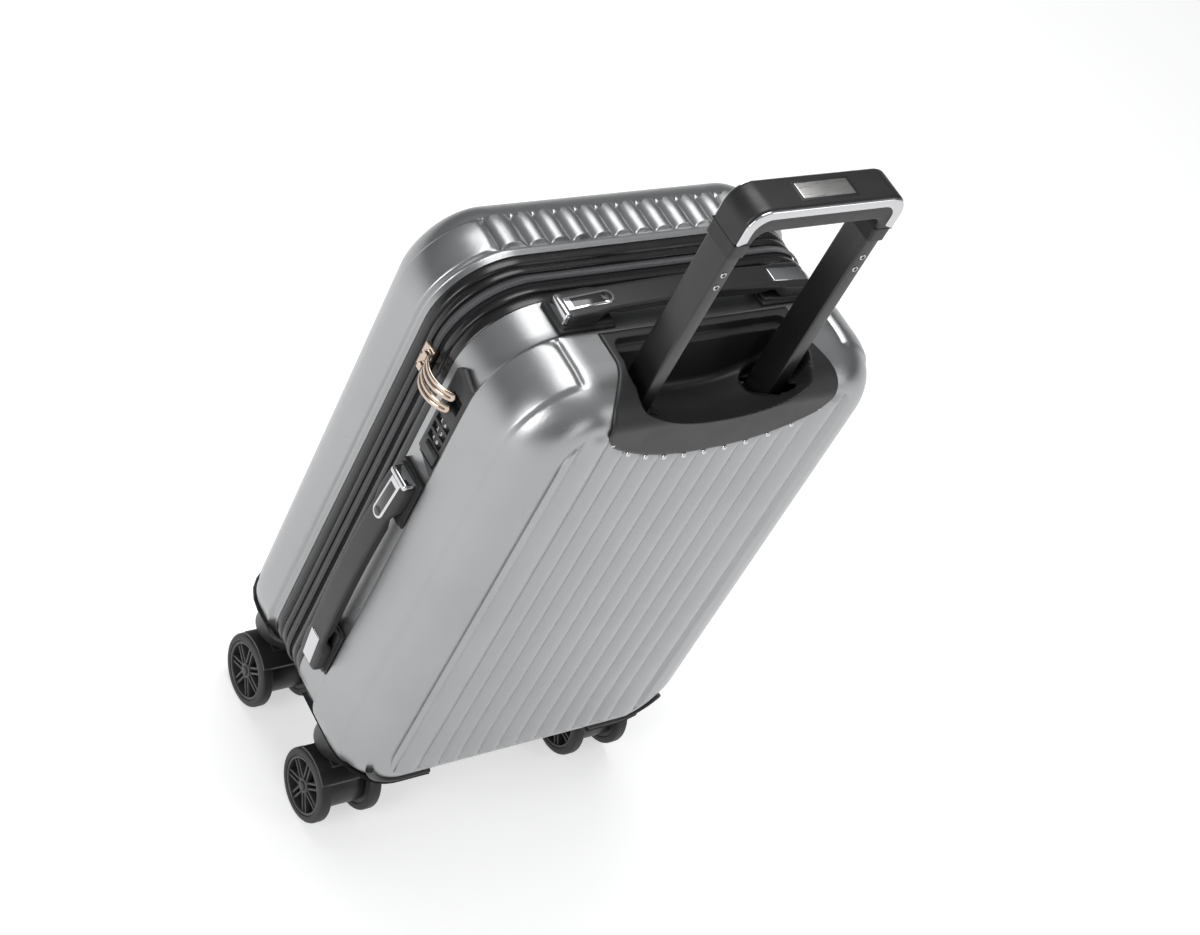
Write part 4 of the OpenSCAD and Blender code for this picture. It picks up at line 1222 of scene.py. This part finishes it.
def spunRing(name, profile, steps=80):
    # profile of (radius, x) in mm, spun about the X axis
    n = len(profile)
    me = bpy.data.meshes.new(name)
    me.from_pydata([(x * mm, 0, r * mm) for r, x in profile], [(i, (i + 1) % n) for i in range(n)], [])
    ob = bpy.data.objects.new(name, me)
    bpy.context.scene.collection.objects.link(ob)
    useOnly(ob)
    bpy.ops.object.mode_set(mode="EDIT")
    bpy.ops.mesh.select_all(action="SELECT")
    bpy.ops.mesh.spin(steps=steps, angle=2 * math.pi, center=(0, 0, 0), axis=(1, 0, 0))
    bpy.ops.object.mode_set(mode="OBJECT")
    outward(ob)
    return ob


def makeWheel(w):
    # outer face towards +X, from x 0 to the wheel's width
    r, t, edge, hubEdge = w["radius"], w["width"], w["rim"], w["hub"]
    tyre = spunRing("tyre", [
        (r, 2.6), (r, t - 2.6), (r - 0.35, t - 1.5), (r - 1.1, t - 0.7), (r - 2.2, t - 0.25), (r - 5.2, t),
        (r - 6.0, t - 0.3), (r - 6.3, t - 1.2), (r - 6.3, 1.0), (r - 5.6, 0.2), (r - 2.2, 0.3),
        (r - 0.8, 0.9), (r - 0.2, 1.7)])
    rim = spunRing("rim", [
        (edge - 0.1, t - 0.9), (edge - 0.7, t - 0.4), (edge - 2.0, t - 0.4), (edge - 2.5, t - 0.9),
        (edge - 2.7, 3.2), (0.6, 3.2), (0.6, 1.0), (edge - 0.1, 1.0)])
    hub = spunRing("hub", [
        (hubEdge, 3.0), (hubEdge, t - 1.4), (hubEdge - 0.5, t - 0.8), (hubEdge - 2.0, t - 0.7),
        (hubEdge - 2.5, t - 1.2), (hubEdge - 3.0, t - 1.2), (hubEdge - 3.4, t + 0.2),
        (hubEdge - 4.4, t + 0.7), (0.02, t + 0.9), (0.02, 3.0)], 48)
    spokes = []
    for k in range(w["spokes"]):
        for s in (-1, 1):
            clearSelection()
            spot = ((t - 4.2) * mm, s * w["gap"] / 2 * mm, 14.6 * mm)
            bpy.ops.mesh.primitive_cube_add(size=1, location=spot,
                                            scale=(5.6 * mm, w["spokeWide"] * mm, 17.6 * mm))
            bar = bpy.context.object
            settle(bar)
            bevelled(bar, 0.0005, 2)
            bar.data.transform(Matrix.Rotation(2 * math.pi * k / w["spokes"] + 0.22, 4, "X"))
            spokes.append(bar)
    return tyre, joined("rimAndSpokes", [rim, hub] + spokes)


guardRim = {"angle": 61.0, "end": 80.0, "thick": 2.6, "tall": 3.2}


def makeGuardRim(name, g, half, qx):
    # thick rounded edge of a guard, following the shell's lower corner
    s = shellSet
    a = math.radians(g["angle"])
    inset = s["edge"] * (1 - math.cos(a))
    rx, rz = s["corner"] - inset, s["corner"] - s["edgeSquash"] * inset
    side = half["side"]
    y = half["bandY"] + side * (half["depth"] * math.sin(a) + half["roundAt"] * (1 - math.sin(a)) + 1.6)
    cx, cz = s["halfWidth"] - s["corner"], s["bottom"] + s["corner"]
    pts = [(x, cz - rz, 0, -1) for x in np.linspace(g["end"], cx, 8)[:-1]]
    for t in np.linspace(0, 62, 16):
        q = math.radians(t)
        pts.append((cx + rx * math.sin(q), cz - rz * math.cos(q), math.sin(q), -math.cos(q)))
    path, frames = [], []
    for x, z, ox, oz in pts:
        path.append((x0 + qx * x * mm, y * mm, z * mm))
        out = Vector((qx * ox * math.cos(a), side * math.sin(a), oz * math.cos(a)))
        along = Vector((qx * -oz, 0, ox))
        frames.append((tuple(out), tuple(out.cross(along).normalized())))
    ring = []
    for k in np.linspace(0, 2 * math.pi, 17)[:-1]:
        ca, sa = math.cos(k), math.sin(k)
        ring.append((math.copysign(abs(ca) ** 0.6, ca) * g["thick"] * mm,
                     math.copysign(abs(sa) ** 0.6, sa) * g["tall"] * mm))
    return sweep(name, path, frames, ring, closed=False)


casterSet = {"across": 127, "apart": 18, "trail": 11, "back": -44.0, "front": 73.0}
tyreMesh, rimMesh = makeWheel(wheelSet)
outward(tyreMesh)
for q, qx in (("left", -1), ("right", 1)):
    for p in ("back", "front"):
        corner = p + "_" + q
        half = halves[p]
        host = "base" if p == "back" else "lid"
        tag = p + q.capitalize()
        softened("guard" + tag, "guard_" + corner, 0.0011, host, "hardBlack")
        dress(makeGuardRim("guardRim" + tag, guardRim, half, qx), host, "hardBlack")
        softened("fork" + tag, "fork_" + corner, 0.0012, "swivel_" + corner, "hardBlack")
        for face, sx in (("outer", qx), ("inner", -qx)):
            x = qx * casterSet["across"] + sx * casterSet["apart"]
            y = casterSet[p] - casterSet["trail"]
            at = Matrix.Translation((x0 + x * mm, y * mm, wheelSet["radius"] * mm))
            if sx < 0:
                at = at @ Matrix.Rotation(math.pi, 4, "Z")
            for made, label, finish in ((tyreMesh, "tyre", "tyre"), (rimMesh, "rim", "wheelHub")):
                ob = meshCopy(label + tag + face.capitalize(), made)
                ob.data.transform(at)
                stands = ("wheel_" + corner + "_" + face,) if label == "tyre" else ()
                dress(ob, "wheels_" + corner, finish, stands, 35)
for made in (tyreMesh, rimMesh):
    bpy.data.objects.remove(made)
print("stage: casters")


bpy.context.scene.view_settings.view_transform = "Standard"
